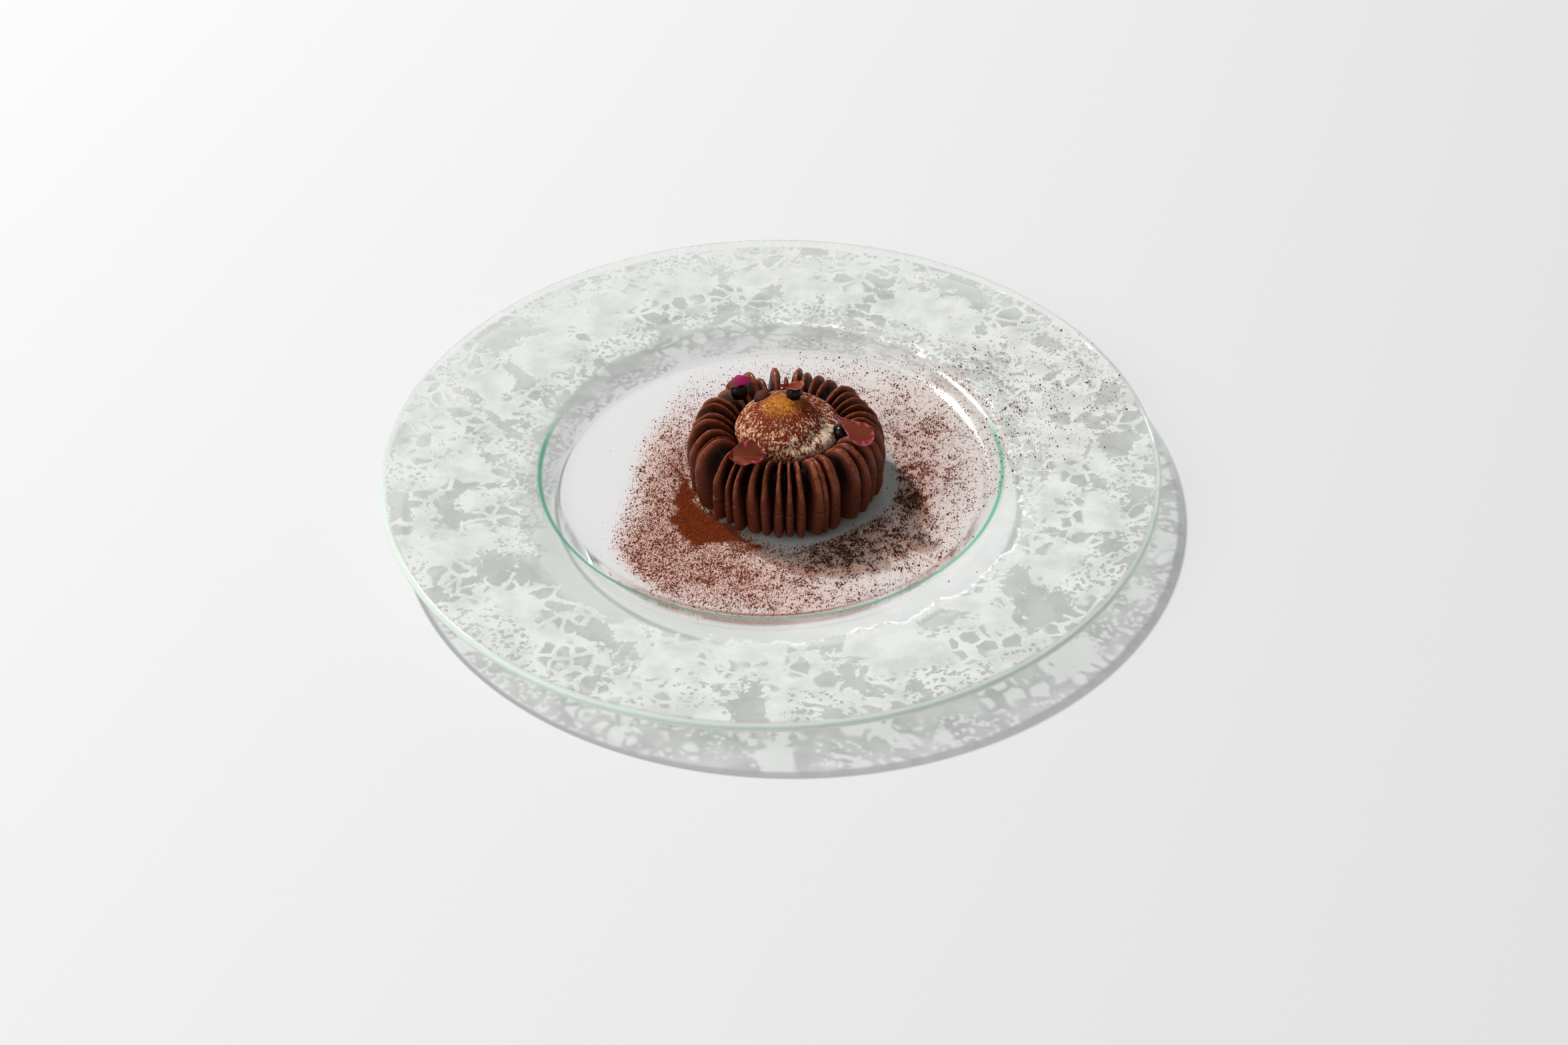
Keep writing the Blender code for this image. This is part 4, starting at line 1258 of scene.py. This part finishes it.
# %% Model one grain and a way to copy it
start_fresh()
bpy.ops.mesh.primitive_cone_add(vertices=4, radius1=0.5, radius2=0.0, depth=0.5, location=(0.0, 0.0, 0.25))
grain_shape = bpy.context.object
bpy.ops.object.transform_apply(location=True, rotation=True, scale=True)
bpy.ops.object.mode_set(mode="EDIT")
bpy.ops.mesh.select_mode(type="FACE")
bpy.ops.mesh.select_all(action="DESELECT")
bpy.ops.mesh.select_face_by_sides(number=4)
bpy.ops.mesh.poke()
bpy.ops.mesh.select_mode(type="VERT")
bpy.ops.object.mode_set(mode="OBJECT")
for vertex in grain_shape.data.vertices:
    if vertex.co.length < 0.01:
        vertex.co.z = -0.5
GRAIN_POINTS = np.array([tuple(vertex.co) for vertex in grain_shape.data.vertices])
GRAIN_FACES = np.array([tuple(face.vertices) for face in grain_shape.data.polygons])
bpy.data.objects.remove(grain_shape)


def random_turns(count, draw):
    """Random turns as a stack of 3 by 3 matrices."""
    q = draw.normal(size=(count, 4))
    q /= np.linalg.norm(q, axis=1)[:, None]
    w, x, y, z = q.T
    rows = [
        [1 - 2 * (y * y + z * z), 2 * (x * y - z * w), 2 * (x * z + y * w)],
        [2 * (x * y + z * w), 1 - 2 * (x * x + z * z), 2 * (y * z - x * w)],
        [2 * (x * z - y * w), 2 * (y * z + x * w), 1 - 2 * (x * x + y * y)],
    ]
    return np.array(rows).transpose(2, 0, 1)


def scatter(name, places, sizes, seed, slot, material):
    """One mesh with a copy of the grain at each place, in millimetres."""
    draw = np.random.default_rng(seed)
    count = len(places)
    stretch = draw.uniform(0.65, 1.35, size=(count, 1, 3))
    points = GRAIN_POINTS[None] * stretch * sizes[:, None, None]
    points = np.einsum("nij,nkj->nki", random_turns(count, draw), points) + places[:, None, :]
    faces = GRAIN_FACES[None] + (np.arange(count) * len(GRAIN_POINTS))[:, None, None]
    mesh = bpy.data.meshes.new(name)
    mesh.vertices.add(count * len(GRAIN_POINTS))
    mesh.vertices.foreach_set("co", (points * MM).astype(np.float32).ravel())
    mesh.loops.add(faces.size)
    mesh.loops.foreach_set("vertex_index", faces.astype(np.int32).ravel())
    mesh.polygons.add(count * len(GRAIN_FACES))
    mesh.polygons.foreach_set("loop_start", np.arange(0, faces.size, 3, dtype=np.int32))
    mesh.update(calc_edges=True)
    mesh.validate()
    piece = bpy.data.objects.new(name, mesh)
    bpy.context.scene.collection.objects.link(piece)
    piece.visible_shadow = False
    hand_over(piece, material, slot)


MOUSSE_SHADOW_PLACE = (30.0, -30.0, 4.0)
MOUSSE_SHADOW_REACH, MOUSSE_SHADOW_CORE = 46.0, 26.0

cocoa, tree, output, in_mm = new_material("cocoa powder")
tone = add(tree, "TexNoise", {"Scale": 1 / 1.5, "Detail": 2.0}, {"Vector": in_mm})
cocoa_tone = add(tree, "Mix", {**COLOURS, 6: linear("#5a220e"), 7: linear("#92441f")}, {0: tone})
# Painted shadow: in front on the right, where the mousse's shadow falls, the cocoa is painted darker
from_mousse_shadow = add(tree, "VectorMath", {"operation": "DISTANCE", 1: MOUSSE_SHADOW_PLACE}, {0: in_mm})
painted_shadow_on_cocoa = add(tree, "MapRange", {**SOFT_STEP, 1: MOUSSE_SHADOW_REACH, 2: MOUSSE_SHADOW_CORE, 4: 0.85}, {0: from_mousse_shadow})
cocoa_with_painted_shadow = add(tree, "Mix", {**COLOURS, 7: linear("#2c120a")}, {0: painted_shadow_on_cocoa, 6: cocoa_tone})
cocoa_shader = add(
    tree,
    "BsdfPrincipled",
    {"Roughness": 1.0, "Specular IOR Level": 0.1},
    {"Base Color": cocoa_with_painted_shadow},
)
tree.links.new(cocoa_shader.outputs["BSDF"], output.inputs["Surface"])
print("one grain has", len(GRAIN_FACES), "faces")

# %% Sieve the cocoa over the plate
GRAIN_AREA = 0.12
MOST_ON_PLATE = 24000
FIELD_LOW = (-98.0, -98.0)
FIELD_HIGH = (160.0, 100.0)
CANDIDATES = 1500000
SOFT_CLUMP, WIDE_CLUMP = 1.7, 5.0
USUAL_GRAIN = 0.34
SMALLEST_GRAIN, LARGEST_GRAIN = 0.18, 1.2
CLEAR_OF_MOUSSE = 33.0
CLEAR_OF_EDGE = 158.0

draw = np.random.default_rng(5)
x = draw.uniform(FIELD_LOW[0], FIELD_HIGH[0], CANDIDATES)
y = draw.uniform(FIELD_LOW[1], FIELD_HIGH[1], CANDIDATES)
cover = cocoa_cover(x, y)
clumps = 0.55 * cloud(x, y, SOFT_CLUMP, 1) + 0.45 * cloud(x, y, WIDE_CLUMP, 2)
clumpy = ease((x + 30.0) / 60.0)
clumps = blend(0.65, 0.25, clumpy) + blend(0.9, 2.1, clumpy) * ease((clumps - 0.32) / 0.5)
solid = ease((cover - 0.7) / 0.2)
wanted = -0.88 * np.log(1.0 - cover) / GRAIN_AREA * blend(clumps, 1.0, solid)
offered = CANDIDATES / ((FIELD_HIGH[0] - FIELD_LOW[0]) * (FIELD_HIGH[1] - FIELD_LOW[1]))
from_mousse = np.hypot(x - MOUSSE_X, y - MOUSSE_Y)
kept = draw.random(CANDIDATES) < wanted / offered
kept &= (from_mousse > CLEAR_OF_MOUSSE) & (np.hypot(x, y) < CLEAR_OF_EDGE)
x, y, cover = x[kept], y[kept], cover[kept]
sizes = draw.lognormal(math.log(USUAL_GRAIN), 0.42, len(x))
sizes = np.clip(sizes, SMALLEST_GRAIN, LARGEST_GRAIN)
z = plate_top(np.hypot(x, y)) + 0.3 * sizes + draw.random(len(x)) * 0.5 * ease((cover - 0.6) / 0.3)
spots = np.stack([x, y, z], axis=1)
order = np.argsort(np.arctan2(y, x))
shares = np.array_split(order, math.ceil(len(order) / MOST_ON_PLATE))
for number, share in enumerate(shares):
    scatter(f"cocoa_on_plate_{number + 1}", spots[share], sizes[share], 20 + number, "chocolate", cocoa)
print(len(x), "grains lie on the plate")
